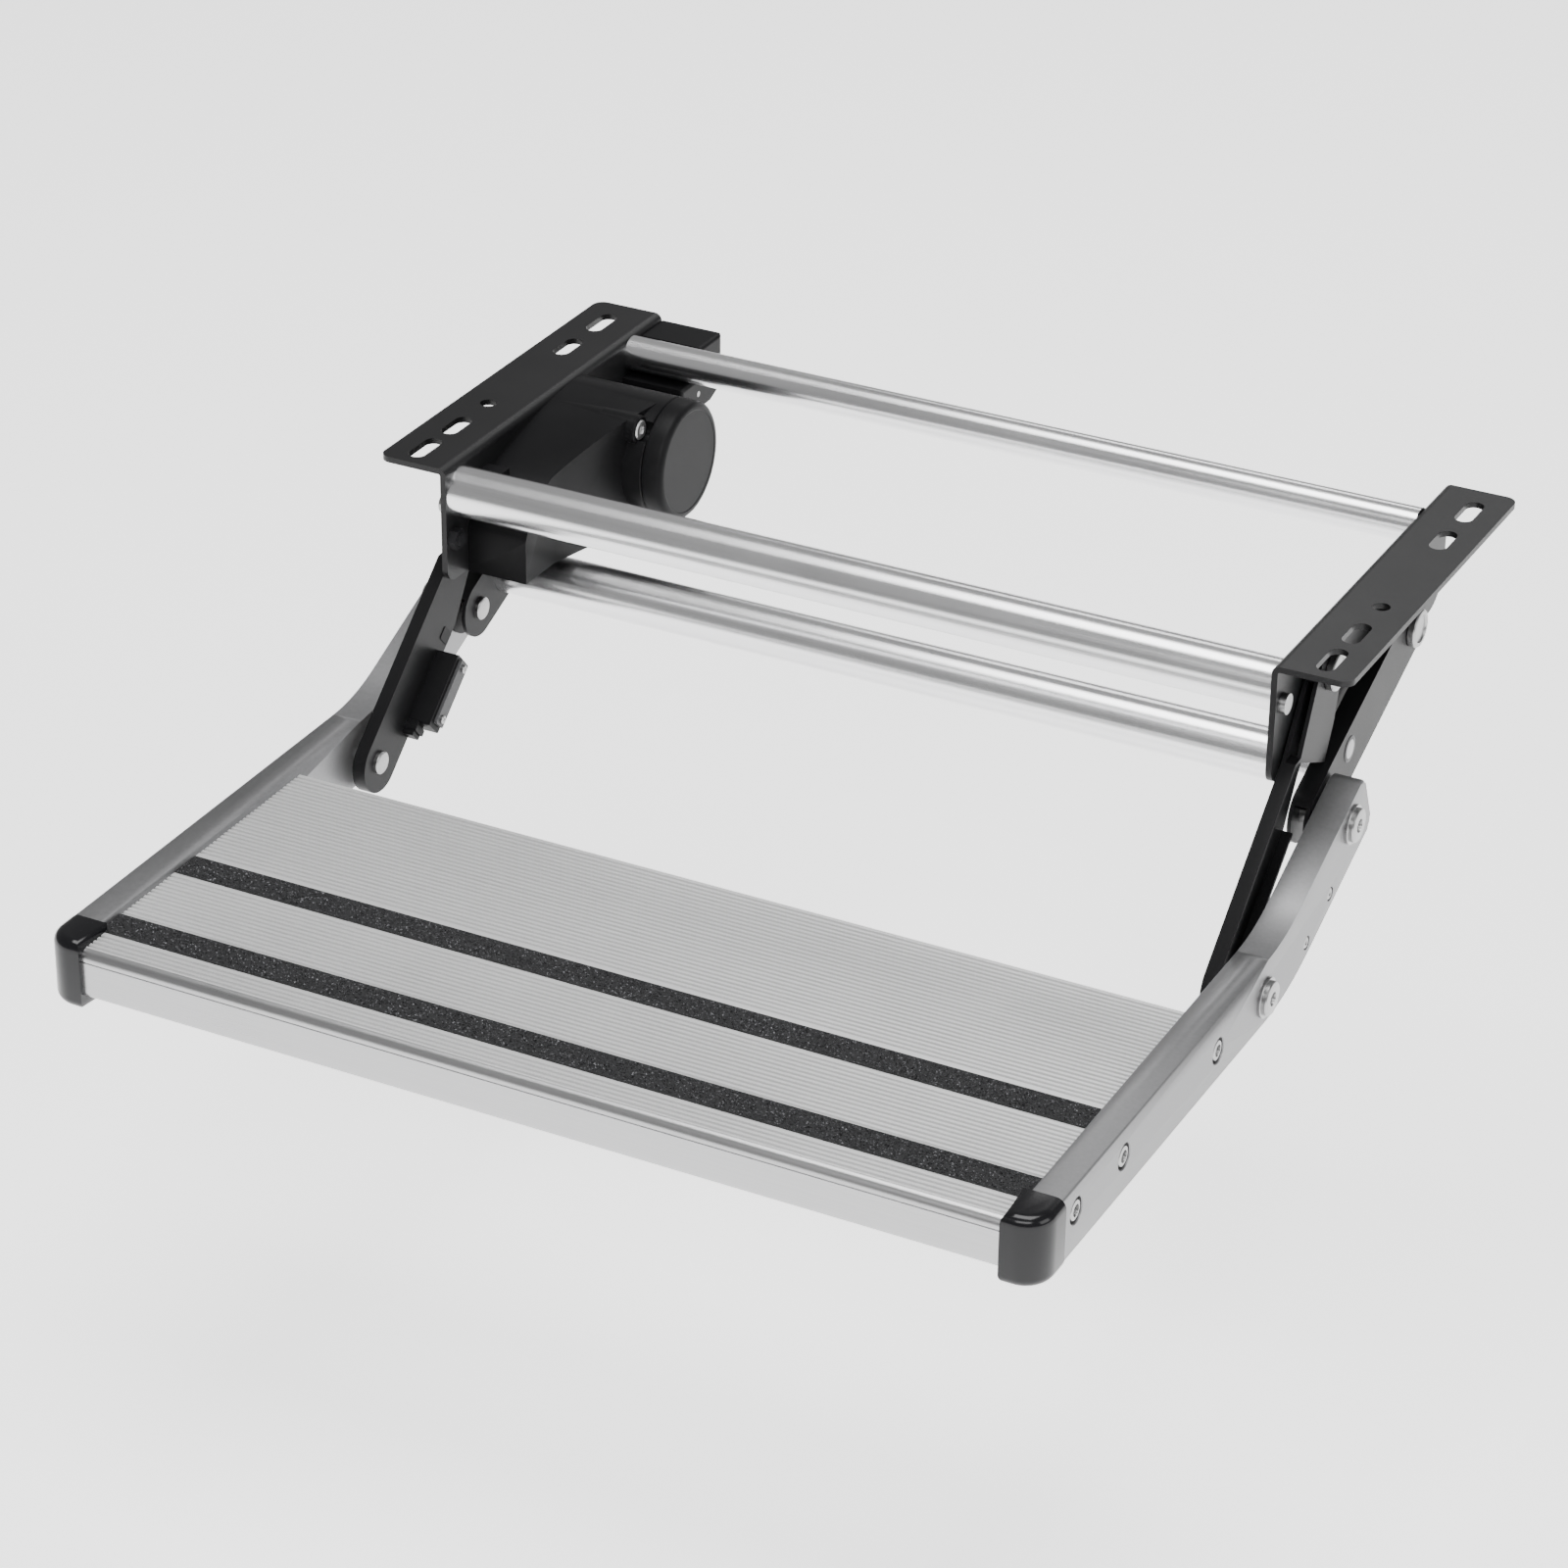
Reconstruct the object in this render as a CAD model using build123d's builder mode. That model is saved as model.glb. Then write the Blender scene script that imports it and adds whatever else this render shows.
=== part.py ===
from build123d import *
from math import atan2, cos, degrees, hypot, pi, radians, sin
import os

# Motorised swing-out entry step: two fixed brackets under the vehicle floor,
# two pairs of arms and a light-alloy step between two bent rails.
# Millimetres. X runs across the step to its right, Y from the step back under
# the vehicle, Z up. The origin is midway between the two round flange holes,
# on the upper face of the flanges. The step is drawn swung out.

os.makedirs("parts", exist_ok=True)

# Sheet and fits
sheet = 3.0                   # bracket sheet
arm_sheet = 2.0               # arm sheet
fit = 0.05                    # radial play of a fixed pin in its hole
run = 0.05                    # radial running clearance of a shaft
side_play = 0.1               # axial play between moving faces

# Widths from the middle of the step outwards
bracket_inner = 217.0
bracket_outer = bracket_inner + sheet
arm_inner = bracket_outer + 1.0
arm_depth = 10.0
arm_outer = arm_inner + arm_depth
rail_inner = arm_outer + 1.0
rail_width = 15.5
rail_outer = rail_inner + rail_width

# Pivots in the side view (Y, Z)
front_pivot = (-30.0, -22.0)
rear_pivot = (71.0, -44.0)
front_rail_pivot = (-141.0, -133.0)
rear_rail_pivot = (-42.0, -92.0)

# Brackets
bracket_front = -79.0
bracket_rear = 141.0
bracket_drop = 62.0
flange_edge = 255.0
flange_corner = 6.0
fold_outer = 4.0
fold_inner = fold_outer - sheet
bracket_front_corner = 8.0
bracket_rear_corner = 18.0
hole_line = 239.0
slot_width = 9.0
outer_slot_length = 24.0
inner_slot_length = 22.0
outer_slots = (-61.0, 116.0)
inner_slots = (-31.0, 80.5)
round_hole_radius = 4.2

# Cross tubes
front_tube_at = (-66.0, -16.0)
front_tube_radius = 12.5
rear_tube_at = (109.0, -9.5)
rear_tube_radius = 9.0
tube_wall = 2.0
plug_length = 22.0
tube_bolt_radius = 2.5
tube_bolt_length = 16.0
tube_bolt_head_radius = 5.0
tube_bolt_head = 3.2
tube_bolt_offset = (-5.0, -6.0)
plate_screw_at = (-73.0, -39.0)
plate_screw_radius = 3.0
plate_screw_head_radius = 5.0
plate_screw_end = 5.5
plate_nut_height = 4.0
plate_nut_radius = 5.6

# Pivot studs, bushes and washers
stud_radius = 5.0
stud_head_radius = 9.0
stud_head = 4.0
stud_round = 1.2
bush_wall = 2.0
washer_radius = 10.0
washer_thickness = bracket_outer + 1.0 - side_play - bracket_outer
rail_pin_radius = 4.0
rail_pin_head_radius = 7.0
rail_pin_head = 3.0
rail_pin_reach = 9.0
rail_stud_head_radius = 7.5
rail_stud_head = 3.0
open_pivot_gap = 0.4

# Arms
arm_half_width = 15.0
front_arm_front = 13.0
front_arm_rear = 17.0
front_arm_end_radius = 15.0
front_arm_knee_front = (-79.5, -61.8)
front_arm_bend_front = (-76.0, -43.0)
front_arm_top_front = (-60.5, -15.0)
front_arm_top = (-54.0, -9.0)
front_arm_rear_top = (-28.0, -30.0)
front_arm_rear_knee = (-42.5, -68.0)
front_arm_lobe = 13.5
closing_front = (-75.5, -48.2)
closing_rear = (-30.0, -74.0)
rear_hub_radius = 12.0
cheek_long = 46.8
cheek_short = 25.8
front_skin = (1.9, -1.1)         # sheet thickness measured along Y and Z
arm_reach = 40.0                  # cuts run past the outline by this much

# Lower crossbar between the rear arms
crossbar_radius = 12.5
crossbar_along = 94.0
tab_width = 9.0
tab_thickness = 2.0
tab_turn = 40.0
tab_play = 0.3

# Step rails
rail_depth = 33.0
rail_top = -114.0
rail_front = -362.0
rail_bend_start = -141.0
rail_bend_radius = 95.0
rail_bend = 24.0
rail_straight = 80.3
rail_wall = 2.2
rail_end_round = 5.0
rail_edge_round = 1.2
insert_play = 0.15
insert_front = -166.0
insert_rear = -16.0
rail_screw_radius = 2.5
rail_screw_head_radius = 4.5
rail_screw_head = 2.0
rail_screw_length = 9.0
rail_screws_at = ((-195.5, -131.8), (-298.5, -128.5), (-348.0, -127.0))
insert_screws_at = ((-65.0, -117.8), (-92.0, -130.1))
insert_screw_head_radius = 3.2
insert_screw_head = 1.4

# Tread board
tread_half = rail_inner
tread_top = -117.0
tread_bottom = -141.5
tread_rear = -199.0
tread_nose = -383.0
tread_skin = 2.4
tread_web = 2.0
tread_webs = 4
nose_round = 8.0
nose_lower_round = 3.0
rib_pitch = 3.5
rib_gap = 1.7
rib_depth = 0.8
nose_line_pitch = 4.0
nose_lines = 4
nose_line_depth = 0.5
nose_line_width = 0.8
strip_width = 17.0
strip_thickness = 1.4
strip_proud = 0.5
strip_half = 228.0
strip_front_edges = (-364.0, -303.0)
strip_round = 0.3

# End caps
cap_inner = 229.0
cap_outer = 249.0
cap_front = -385.0
cap_top = -113.0
cap_bottom = -148.0
cap_corner = 14.0
cap_round = 4.0
cap_spigot = 9.0
cap_spigot_play = 0.15

# Drive: a geared motor turns the left rear arm through one pair of gears
gear_module = 1.25
wheel_teeth = 28
pinion_teeth = 14
gear_clearance = 0.25
gear_width = 8.0
gear_from = -206.0
backlash = 0.4
drive_angle = 156.4
wheel_hub_radius = 11.0
wheel_hub = 5.0
shaft_radius = 6.0
shaft_end = -189.0
key_width = 4.0
key_low = 3.5
key_high = 7.6
key_play = 0.05
wheel_key_length = 7.6
arm_key_length = 6.0
pinion_shaft_radius = 4.0
pinion_shaft_end = -172.0
shaft_head = 4.0
shaft_bolt_radius = 2.5
shaft_bolt_length = 14.0
shaft_head_radius = 9.0

# Gearbox housing and motor
housing_side = -184.0
housing_wall = 3.0
housing_front = -59.0
housing_bottom = -63.0
housing_rear = 87.0
housing_round = 6.0
housing_front_round = 4.0
housing_tube_gap = 0.8
wheel_room = 1.0
lug_box = (-50.0, -36.0, -19.0, -11.0)
lug_width = 12.0
motor_radius = 25.5
motor_can_wall = 1.5
motor_boss_radius = 29.0
motor_boss_end = -161.0
motor_cap_from = -157.0
motor_end = -150.0
motor_cap_skin = 2.5
motor_cap_round = 2.5
motor_play = 0.15
pinion_opening = 11.0
pinion_bush_radius = 6.05
shaft_boss_radius = 11.0
shaft_boss_end = -196.0
plate_bush_end = -213.0
plate_bush_flange = 10.0
plate_bush_flange_end = -215.0
bush_end = -188.0
ear_radius = 8.0
ear_reach = 32.0
ear_turns = (131.0, 311.0)
ear_end = -166.0
ear_screw_radius = 3.0
ear_screw_head_radius = 5.6
ear_screw_head = 2.6
ear_recess = 3.4
ear_screw_length = 14.0
ear_socket_radius = 2.6

# Control box behind the rear cross tube
control_side = -182.0
control_split = -205.0
control_front = 98.5
control_rear = 142.0
control_top = -4.0
control_shelf = -20.0
control_bottom = -38.0
control_step = 119.5
control_wall = 2.0
control_round = 2.0
control_rear_slope = 5.0
control_bottom_slope = 12.0
control_hole_at = (116.6, -28.6)
control_hole_radius = 1.6
board_thickness = 1.6
relay_at = (127.0, 136.0, -20.0, -9.0)
relay_height = 8.0
board_box = (121.7, 139.8, -30.0, -6.2)

# Position switch on the left front arm, in arm coordinates:
# distance up the arm from the rail pivot, distance behind its centre line
switch_inner = 209.0
switch_box = (28.0, 67.0, 3.0, 24.0)
switch_strip = (26.5, 67.0, 24.0, 28.5)
switch_strip_side = 210.0
switch_strip_back = 219.0
switch_plug = (18.5, 28.0, 9.0, 17.0)
switch_plug_side = 214.5
switch_tab = (68.0, 76.0, 6.0, 14.0)
switch_tab_side = 218.0
switch_screws = ((63.5, 26.2), (30.5, 26.2))
switch_screw_radius = 2.1
switch_screw_head = 1.4
switch_round = 1.0


def unit(start, end):
    """Unit vector in the side view from one point to another."""
    reach = hypot(end[0] - start[0], end[1] - start[1])
    return ((end[0] - start[0]) / reach, (end[1] - start[1]) / reach)


def side_plane(across, at=(0, 0)):
    """Plane seen from the right: its x is Y, its y is Z."""
    return Plane(origin=(across, at[0], at[1]), x_dir=(0, 1, 0), z_dir=(1, 0, 0))


def rod(start, end, at, radius, mode=Mode.ADD):
    """Round bar or bore across the step."""
    with BuildSketch(side_plane(start, at)) as disc:
        Circle(radius)
    extrude(disc.sketch, amount=end - start, mode=mode)


def outline(points):
    """Closed polygon in the side view."""
    with BuildSketch() as shape:
        with BuildLine():
            Polyline(*points, close=True)
        make_face()
    return shape.sketch


def at_side(shape, across):
    """A side-view outline moved onto the plane at one distance across."""
    return side_plane(across) * shape


def block(corners, start, end, mode=Mode.ADD):
    """Rectangle in the side view, extruded across the step."""
    low_y, high_y, low_z, high_z = corners
    middle = ((low_y + high_y) / 2, (low_z + high_z) / 2)
    with BuildSketch(side_plane(start, middle)) as shape:
        Rectangle(high_y - low_y, high_z - low_z)
    extrude(shape.sketch, amount=end - start, mode=mode)


# Side-view directions of the lower part of the front arm
arm_turn = radians(41.3)
arm_up = (cos(arm_turn), sin(arm_turn))
arm_back = (arm_up[1], -arm_up[0])
rear_arm_along = unit(rear_pivot, rear_rail_pivot)
rear_arm_turn = degrees(atan2(rear_arm_along[1], rear_arm_along[0]))
rear_arm_length = hypot(rear_rail_pivot[0] - rear_pivot[0], rear_rail_pivot[1] - rear_pivot[1])
crossbar_at = (rear_pivot[0] + crossbar_along * rear_arm_along[0],
               rear_pivot[1] + crossbar_along * rear_arm_along[1])


def on_arm(up, back):
    """Side-view point given along and behind the lower front arm."""
    return (front_rail_pivot[0] + up * arm_up[0] + back * arm_back[0],
            front_rail_pivot[1] + up * arm_up[1] + back * arm_back[1])


def arm_block(corners, start, end, mode=Mode.ADD):
    """Box square to the lower front arm."""
    low_up, high_up, low_back, high_back = corners
    shape = outline([on_arm(low_up, low_back), on_arm(high_up, low_back),
                     on_arm(high_up, high_back), on_arm(low_up, high_back)])
    extrude(at_side(shape, start), amount=end - start, mode=mode)


sides = (("left", -1), ("right", 1))
bush_radius = stud_radius + run + bush_wall
tube_bolt_at = (front_tube_at[0] + tube_bolt_offset[0], front_tube_at[1] + tube_bolt_offset[1])

# Brackets: one folded sheet each, web downwards and flange outwards
for side, sign in sides:
    with BuildPart() as bracket:
        with BuildSketch(Plane.XZ.offset(-bracket_rear)):
            with BuildLine():
                Polyline((sign * bracket_inner, -bracket_drop), (sign * bracket_inner, 0),
                         (sign * flange_edge, 0), (sign * flange_edge, -sheet),
                         (sign * bracket_outer, -sheet), (sign * bracket_outer, -bracket_drop),
                         close=True)
            make_face()
        extrude(amount=bracket_rear - bracket_front)
        fold = bracket.edges().filter_by(Axis.Y)
        fillet(fold.sort_by_distance((sign * bracket_inner, bracket_front, 0))[0], fold_outer)
        fold = bracket.edges().filter_by(Axis.Y)
        fillet(fold.sort_by_distance((sign * bracket_outer, bracket_front, -sheet))[0], fold_inner)
        corners = bracket.edges().filter_by(Axis.Z).group_by(Axis.X)
        fillet(corners[-1] if sign > 0 else corners[0], flange_corner)
        lower = bracket.edges().filter_by(Axis.X).group_by(Axis.Z)[0].sort_by(Axis.Y)
        fillet(lower[0], bracket_front_corner)
        lower = bracket.edges().filter_by(Axis.X).group_by(Axis.Z)[0].sort_by(Axis.Y)
        fillet(lower[-1], bracket_rear_corner)
        with BuildSketch():
            with Locations(*[(sign * hole_line, y) for y in outer_slots]):
                SlotOverall(outer_slot_length, slot_width, rotation=90)
            with Locations(*[(sign * hole_line, y) for y in inner_slots]):
                SlotOverall(inner_slot_length, slot_width, rotation=90)
            with Locations((sign * hole_line, 0)):
                Circle(round_hole_radius)
        extrude(amount=-sheet, mode=Mode.SUBTRACT)
        inner, outer = sign * bracket_inner, sign * bracket_outer
        rod(inner, outer, front_pivot, stud_radius + fit, Mode.SUBTRACT)
        rear_hole = stud_radius + fit if sign > 0 else shaft_radius + run + bush_wall + fit
        rod(inner, outer, rear_pivot, rear_hole, Mode.SUBTRACT)
        for place in (tube_bolt_at, rear_tube_at):
            rod(inner, outer, place, tube_bolt_radius + fit, Mode.SUBTRACT)
        if sign < 0:
            rod(inner, outer, plate_screw_at, plate_screw_radius + fit, Mode.SUBTRACT)
            with BuildSketch(side_plane(outer, plate_screw_at)):
                Circle(plate_screw_head_radius + fit)
            with BuildSketch(side_plane(outer - sign * (plate_screw_head_radius - plate_screw_radius),
                                        plate_screw_at)):
                Circle(plate_screw_radius + fit)
            loft(mode=Mode.SUBTRACT)
    bracket.part.label = f"bracket_{side}"
    export_step(bracket.part, f"parts/bracket_{side}.step")

# Fixed cross tubes between the bracket webs, closed by threaded plugs
for name, place, radius in (("front_tube", front_tube_at, front_tube_radius),
                            ("rear_tube", rear_tube_at, rear_tube_radius)):
    with BuildPart() as tube:
        rod(-bracket_inner, bracket_inner, place, radius)
        rod(-bracket_inner, bracket_inner, place, radius - tube_wall, Mode.SUBTRACT)
    tube.part.label = name
    export_step(tube.part, f"parts/{name}.step")

with BuildPart() as tube_plugs:
    for side, sign in sides:
        for place, radius, bolt in ((front_tube_at, front_tube_radius, tube_bolt_at),
                                    (rear_tube_at, rear_tube_radius, rear_tube_at)):
            start, end = sign * bracket_inner, sign * (bracket_inner - plug_length)
            rod(start, end, place, radius - tube_wall - fit)
            rod(start, end, bolt, tube_bolt_radius + fit, Mode.SUBTRACT)
tube_plugs.part.label = "tube_plugs"
export_step(tube_plugs.part, "parts/tube_plugs.step")

with BuildPart() as tube_bolts:
    for side, sign in sides:
        for place in (tube_bolt_at, rear_tube_at):
            rod(sign * (bracket_outer - tube_bolt_length), sign * bracket_outer, place, tube_bolt_radius)
            rod(sign * bracket_outer, sign * (bracket_outer + tube_bolt_head), place, tube_bolt_head_radius)
tube_bolts.part.label = "tube_bolts"
export_step(tube_bolts.part, "parts/tube_bolts.step")

# Countersunk screw and nut through the left web
with BuildPart() as plate_screw:
    cone = plate_screw_head_radius - plate_screw_radius
    rod(-bracket_outer + cone, -bracket_inner + plate_screw_end, plate_screw_at, plate_screw_radius)
    with BuildSketch(side_plane(-bracket_outer, plate_screw_at)):
        Circle(plate_screw_head_radius)
    with BuildSketch(side_plane(-bracket_outer + cone, plate_screw_at)):
        Circle(plate_screw_radius)
    loft()
plate_screw.part.label = "plate_screw"
export_step(plate_screw.part, "parts/plate_screw.step")

with BuildPart() as plate_nut:
    with BuildSketch(side_plane(-bracket_inner, plate_screw_at)):
        RegularPolygon(plate_nut_radius, 6)
        Circle(plate_screw_radius + fit, mode=Mode.SUBTRACT)
    extrude(amount=plate_nut_height)
plate_nut.part.label = "plate_nut"
export_step(plate_nut.part, "parts/plate_nut.step")

# Shouldered studs that carry the arms, with thrust washers on the webs
stud_places = ((-1, front_pivot), (1, front_pivot), (1, rear_pivot))
with BuildPart() as pivot_studs:
    for sign, place in stud_places:
        face = arm_outer + side_play
        rod(sign * bracket_inner, sign * face, place, stud_radius)
        rod(sign * face, sign * (face + stud_head), place, stud_head_radius)
    heads = pivot_studs.edges().filter_by(GeomType.CIRCLE)
    heads = heads.filter_by(lambda e: abs(abs(e.center().X) - arm_outer - side_play - stud_head) < fit)
    fillet(heads, stud_round)
pivot_studs.part.label = "pivot_studs"
export_step(pivot_studs.part, "parts/pivot_studs.step")

with BuildPart() as pivot_washers:
    for sign, place in stud_places + ((-1, rear_pivot),):
        bore = (shaft_radius if (sign, place) == (-1, rear_pivot) else stud_radius) + 2 * run
        rod(sign * bracket_outer, sign * (bracket_outer + washer_thickness), place, washer_radius)
        rod(sign * bracket_outer, sign * (bracket_outer + washer_thickness), place, bore, Mode.SUBTRACT)
pivot_washers.part.label = "pivot_washers"
export_step(pivot_washers.part, "parts/pivot_washers.step")

# Front arms: bent channel with a closed upper part and its flange in front
front_arm_low = on_arm(0, -front_arm_front)
front_edge = (front_arm_low, front_arm_knee_front, front_arm_bend_front, front_arm_top_front)
front_shape = outline([*front_edge, front_arm_top,
                       (front_pivot[0], front_pivot[1] + front_arm_lobe),
                       front_pivot, front_arm_rear_top, front_arm_rear_knee,
                       on_arm(0, front_arm_rear)])
inset = [(y + front_skin[0], z + front_skin[1]) for y, z in front_edge]
past_low = [on_arm(-arm_reach, arm_reach), on_arm(-arm_reach, -arm_reach), on_arm(0, -arm_reach)]
rise = unit(front_arm_bend_front, front_arm_top_front)
past_top = (inset[-1][0] + arm_reach * rise[0], inset[-1][1] + arm_reach * rise[1])
past_rear = (front_arm_rear_top[0] + arm_reach, past_top[1])
behind = (past_rear[0], on_arm(-arm_reach, arm_reach)[1])
front_pocket = outline([*past_low, *inset, past_top, past_rear, behind])
fall = unit(closing_front, closing_rear)
closing_far = (closing_rear[0] + arm_reach * fall[0], closing_rear[1] + arm_reach * fall[1])
front_window = outline([*past_low, *inset[:2], closing_front, closing_far,
                        (closing_far[0], behind[1])])
for side, sign in sides:
    with BuildPart() as front_arm:
        extrude(at_side(front_shape, sign * arm_inner), amount=sign * arm_depth)
        rod(sign * arm_inner, sign * arm_outer,
            on_arm(0, front_arm_rear - front_arm_end_radius), front_arm_end_radius)
        rod(sign * arm_inner, sign * arm_outer, front_pivot, front_arm_lobe)
        extrude(at_side(front_pocket, sign * (arm_inner + arm_sheet)),
                amount=sign * (arm_depth - 2 * arm_sheet), mode=Mode.SUBTRACT)
        extrude(at_side(front_window, sign * (arm_outer - arm_sheet)),
                amount=sign * arm_sheet, mode=Mode.SUBTRACT)
        rod(sign * arm_inner, sign * arm_outer, front_pivot, bush_radius + fit, Mode.SUBTRACT)
        rod(sign * arm_inner, sign * arm_outer, front_rail_pivot, rail_pin_radius + fit, Mode.SUBTRACT)
    front_arm.part.label = f"front_arm_{side}"
    export_step(front_arm.part, f"parts/front_arm_{side}.step")

for name, places in (("front_arm_bushes", ((-1, front_pivot), (1, front_pivot))),
                     ("rear_arm_bush", ((1, rear_pivot),))):
    with BuildPart() as bushes:
        for sign, place in places:
            rod(sign * arm_inner, sign * arm_outer, place, bush_radius)
            rod(sign * arm_inner, sign * arm_outer, place, stud_radius + run, Mode.SUBTRACT)
    bushes.part.label = name
    export_step(bushes.part, f"parts/{name}.step")

# Riveted pins at the lower end of the front arms, turning in the rails
with BuildPart() as front_rail_pins:
    for side, sign in sides:
        rod(sign * (arm_inner - rail_pin_head), sign * arm_inner, front_rail_pivot, rail_pin_head_radius)
        rod(sign * arm_inner, sign * (rail_inner + rail_pin_reach), front_rail_pivot, rail_pin_radius)
        rod(sign * (arm_inner + arm_sheet), sign * (rail_inner - side_play),
            front_rail_pivot, rail_pin_head_radius)
    heads = front_rail_pins.edges().filter_by(GeomType.CIRCLE)
    heads = heads.filter_by(lambda e: abs(abs(e.center().X) - arm_inner + rail_pin_head) < fit)
    fillet(heads, stud_round)
front_rail_pins.part.label = "front_rail_pins"
export_step(front_rail_pins.part, "parts/front_rail_pins.step")

# Position switch on the inner side of the left front arm
with BuildPart() as switch_body:
    arm_block(switch_box, -arm_inner, -switch_inner)
    fillet(switch_body.edges().filter_by(Axis.X), switch_round)
    arm_block(switch_plug, -arm_inner, -switch_plug_side)
switch_body.part.label = "switch_body"
export_step(switch_body.part, "parts/switch_body.step")

with BuildPart() as switch_cover:
    arm_block(switch_strip, -switch_strip_back, -switch_strip_side)
    for spot in switch_screws:
        rod(-switch_strip_back, -switch_strip_side, on_arm(*spot), switch_screw_radius / 2 + fit,
            Mode.SUBTRACT)
switch_cover.part.label = "switch_cover"
export_step(switch_cover.part, "parts/switch_cover.step")

with BuildPart() as switch_fixings:
    for spot in switch_screws:
        rod(-switch_strip_back, -switch_strip_side, on_arm(*spot), switch_screw_radius / 2)
        rod(-switch_strip_side, -switch_strip_side + switch_screw_head, on_arm(*spot), switch_screw_radius)
switch_fixings.part.label = "switch_fixings"
export_step(switch_fixings.part, "parts/switch_fixings.step")

with BuildPart() as switch_label:
    arm_block(switch_tab, -arm_inner, -switch_tab_side)
    fillet(switch_label.edges().filter_by(Axis.X), switch_round)
switch_label.part.label = "switch_label"
export_step(switch_label.part, "parts/switch_label.step")


# Rear arms: channel with a full outer web, a flange in front and an inner
# cheek at the rail end
rear_arm_front = (rear_arm_along[1], -rear_arm_along[0])


def on_rear_arm(along, front):
    """Side-view point given along and in front of the rear arm."""
    return (rear_pivot[0] + along * rear_arm_along[0] + front * rear_arm_front[0],
            rear_pivot[1] + along * rear_arm_along[1] + front * rear_arm_front[1])


with BuildSketch() as rear_shape:
    with Locations(on_rear_arm(rear_arm_length / 2, 0)):
        SlotCenterToCenter(rear_arm_length, 2 * arm_half_width, rotation=rear_arm_turn)
flange_line = arm_half_width - arm_sheet
rear_pocket = outline([on_rear_arm(-arm_reach, -arm_reach), on_rear_arm(-arm_reach, flange_line),
                       on_rear_arm(rear_arm_length + arm_reach, flange_line),
                       on_rear_arm(rear_arm_length + arm_reach, -arm_reach)])
cheek_fall = (cheek_long - cheek_short) / (flange_line + arm_half_width)
rear_open = outline([on_rear_arm(-arm_reach, -arm_reach), on_rear_arm(-arm_reach, flange_line),
                     on_rear_arm(rear_arm_length - cheek_long, flange_line),
                     on_rear_arm(rear_arm_length - cheek_short, -arm_half_width),
                     on_rear_arm(rear_arm_length - cheek_short
                                 + cheek_fall * (arm_reach - arm_half_width), -arm_reach)])
tab_reach = crossbar_radius - tab_thickness / 2
tab_at = (crossbar_at[0] + tab_reach * cos(radians(tab_turn)),
          crossbar_at[1] + tab_reach * sin(radians(tab_turn)))


def crossbar_tab(start, end, play, mode):
    """Tab in the wall of the crossbar, or the slot that takes it."""
    with BuildSketch(side_plane(start, tab_at)) as tab:
        Rectangle(tab_thickness + play, tab_width + play, rotation=tab_turn)
    extrude(tab.sketch, amount=end - start, mode=mode)


for side, sign in sides:
    with BuildPart() as rear_arm:
        extrude(at_side(rear_shape.sketch, sign * arm_inner), amount=sign * arm_depth)
        extrude(at_side(rear_pocket, sign * (arm_inner + arm_sheet)),
                amount=sign * (arm_depth - 2 * arm_sheet), mode=Mode.SUBTRACT)
        extrude(at_side(rear_open, sign * arm_inner), amount=sign * arm_sheet, mode=Mode.SUBTRACT)
        rod(sign * arm_inner, sign * (arm_outer - arm_sheet), rear_pivot, rear_hub_radius)
        rear_bore = shaft_radius + fit if sign < 0 else bush_radius + fit
        rod(sign * arm_inner, sign * arm_outer, rear_pivot, rear_bore, Mode.SUBTRACT)
        rod(sign * arm_inner, sign * arm_outer, rear_rail_pivot, rail_pin_radius + fit, Mode.SUBTRACT)
        rod(sign * arm_inner, sign * (arm_outer - arm_sheet), crossbar_at,
            crossbar_radius + fit, Mode.SUBTRACT)
        crossbar_tab(sign * (arm_outer - arm_sheet), sign * arm_outer, tab_play, Mode.SUBTRACT)
        if sign < 0:
            block((rear_pivot[0] - key_width / 2 - key_play, rear_pivot[0] + key_width / 2 + key_play,
                   rear_pivot[1], rear_pivot[1] + key_high + key_play),
                  -arm_outer, -arm_outer + arm_key_length + key_play, Mode.SUBTRACT)
    rear_arm.part.label = f"rear_arm_{side}"
    export_step(rear_arm.part, f"parts/rear_arm_{side}.step")

with BuildPart() as crossbar:
    reach = arm_outer - arm_sheet
    rod(-reach, reach, crossbar_at, crossbar_radius)
    rod(-reach, reach, crossbar_at, crossbar_radius - tab_thickness, Mode.SUBTRACT)
    for side, sign in sides:
        crossbar_tab(sign * (reach - arm_sheet), sign * arm_outer, 0, Mode.ADD)
crossbar.part.label = "crossbar"
export_step(crossbar.part, "parts/crossbar.step")

# Arm half of the upper rail pivot
with BuildPart() as rear_rail_rivets:
    for side, sign in sides:
        rod(sign * (arm_inner - rail_pin_head), sign * arm_inner, rear_rail_pivot, rail_pin_head_radius)
        rod(sign * arm_inner, sign * arm_outer, rear_rail_pivot, rail_pin_radius)
    heads = rear_rail_rivets.edges().filter_by(GeomType.CIRCLE)
    heads = heads.filter_by(lambda e: abs(abs(e.center().X) - arm_inner + rail_pin_head) < fit)
    fillet(heads, stud_round)
rear_rail_rivets.part.label = "rear_rail_rivets"
export_step(rear_rail_rivets.part, "parts/rear_rail_rivets.step")

# Output shaft, gears and keys
wheel_radius = gear_module * wheel_teeth / 2
pinion_radius = gear_module * pinion_teeth / 2
centre_distance = wheel_radius + pinion_radius
motor_at = (rear_pivot[0] + centre_distance * cos(radians(drive_angle)),
            rear_pivot[1] + centre_distance * sin(radians(drive_angle)))
gear_to = gear_from + gear_width


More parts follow.
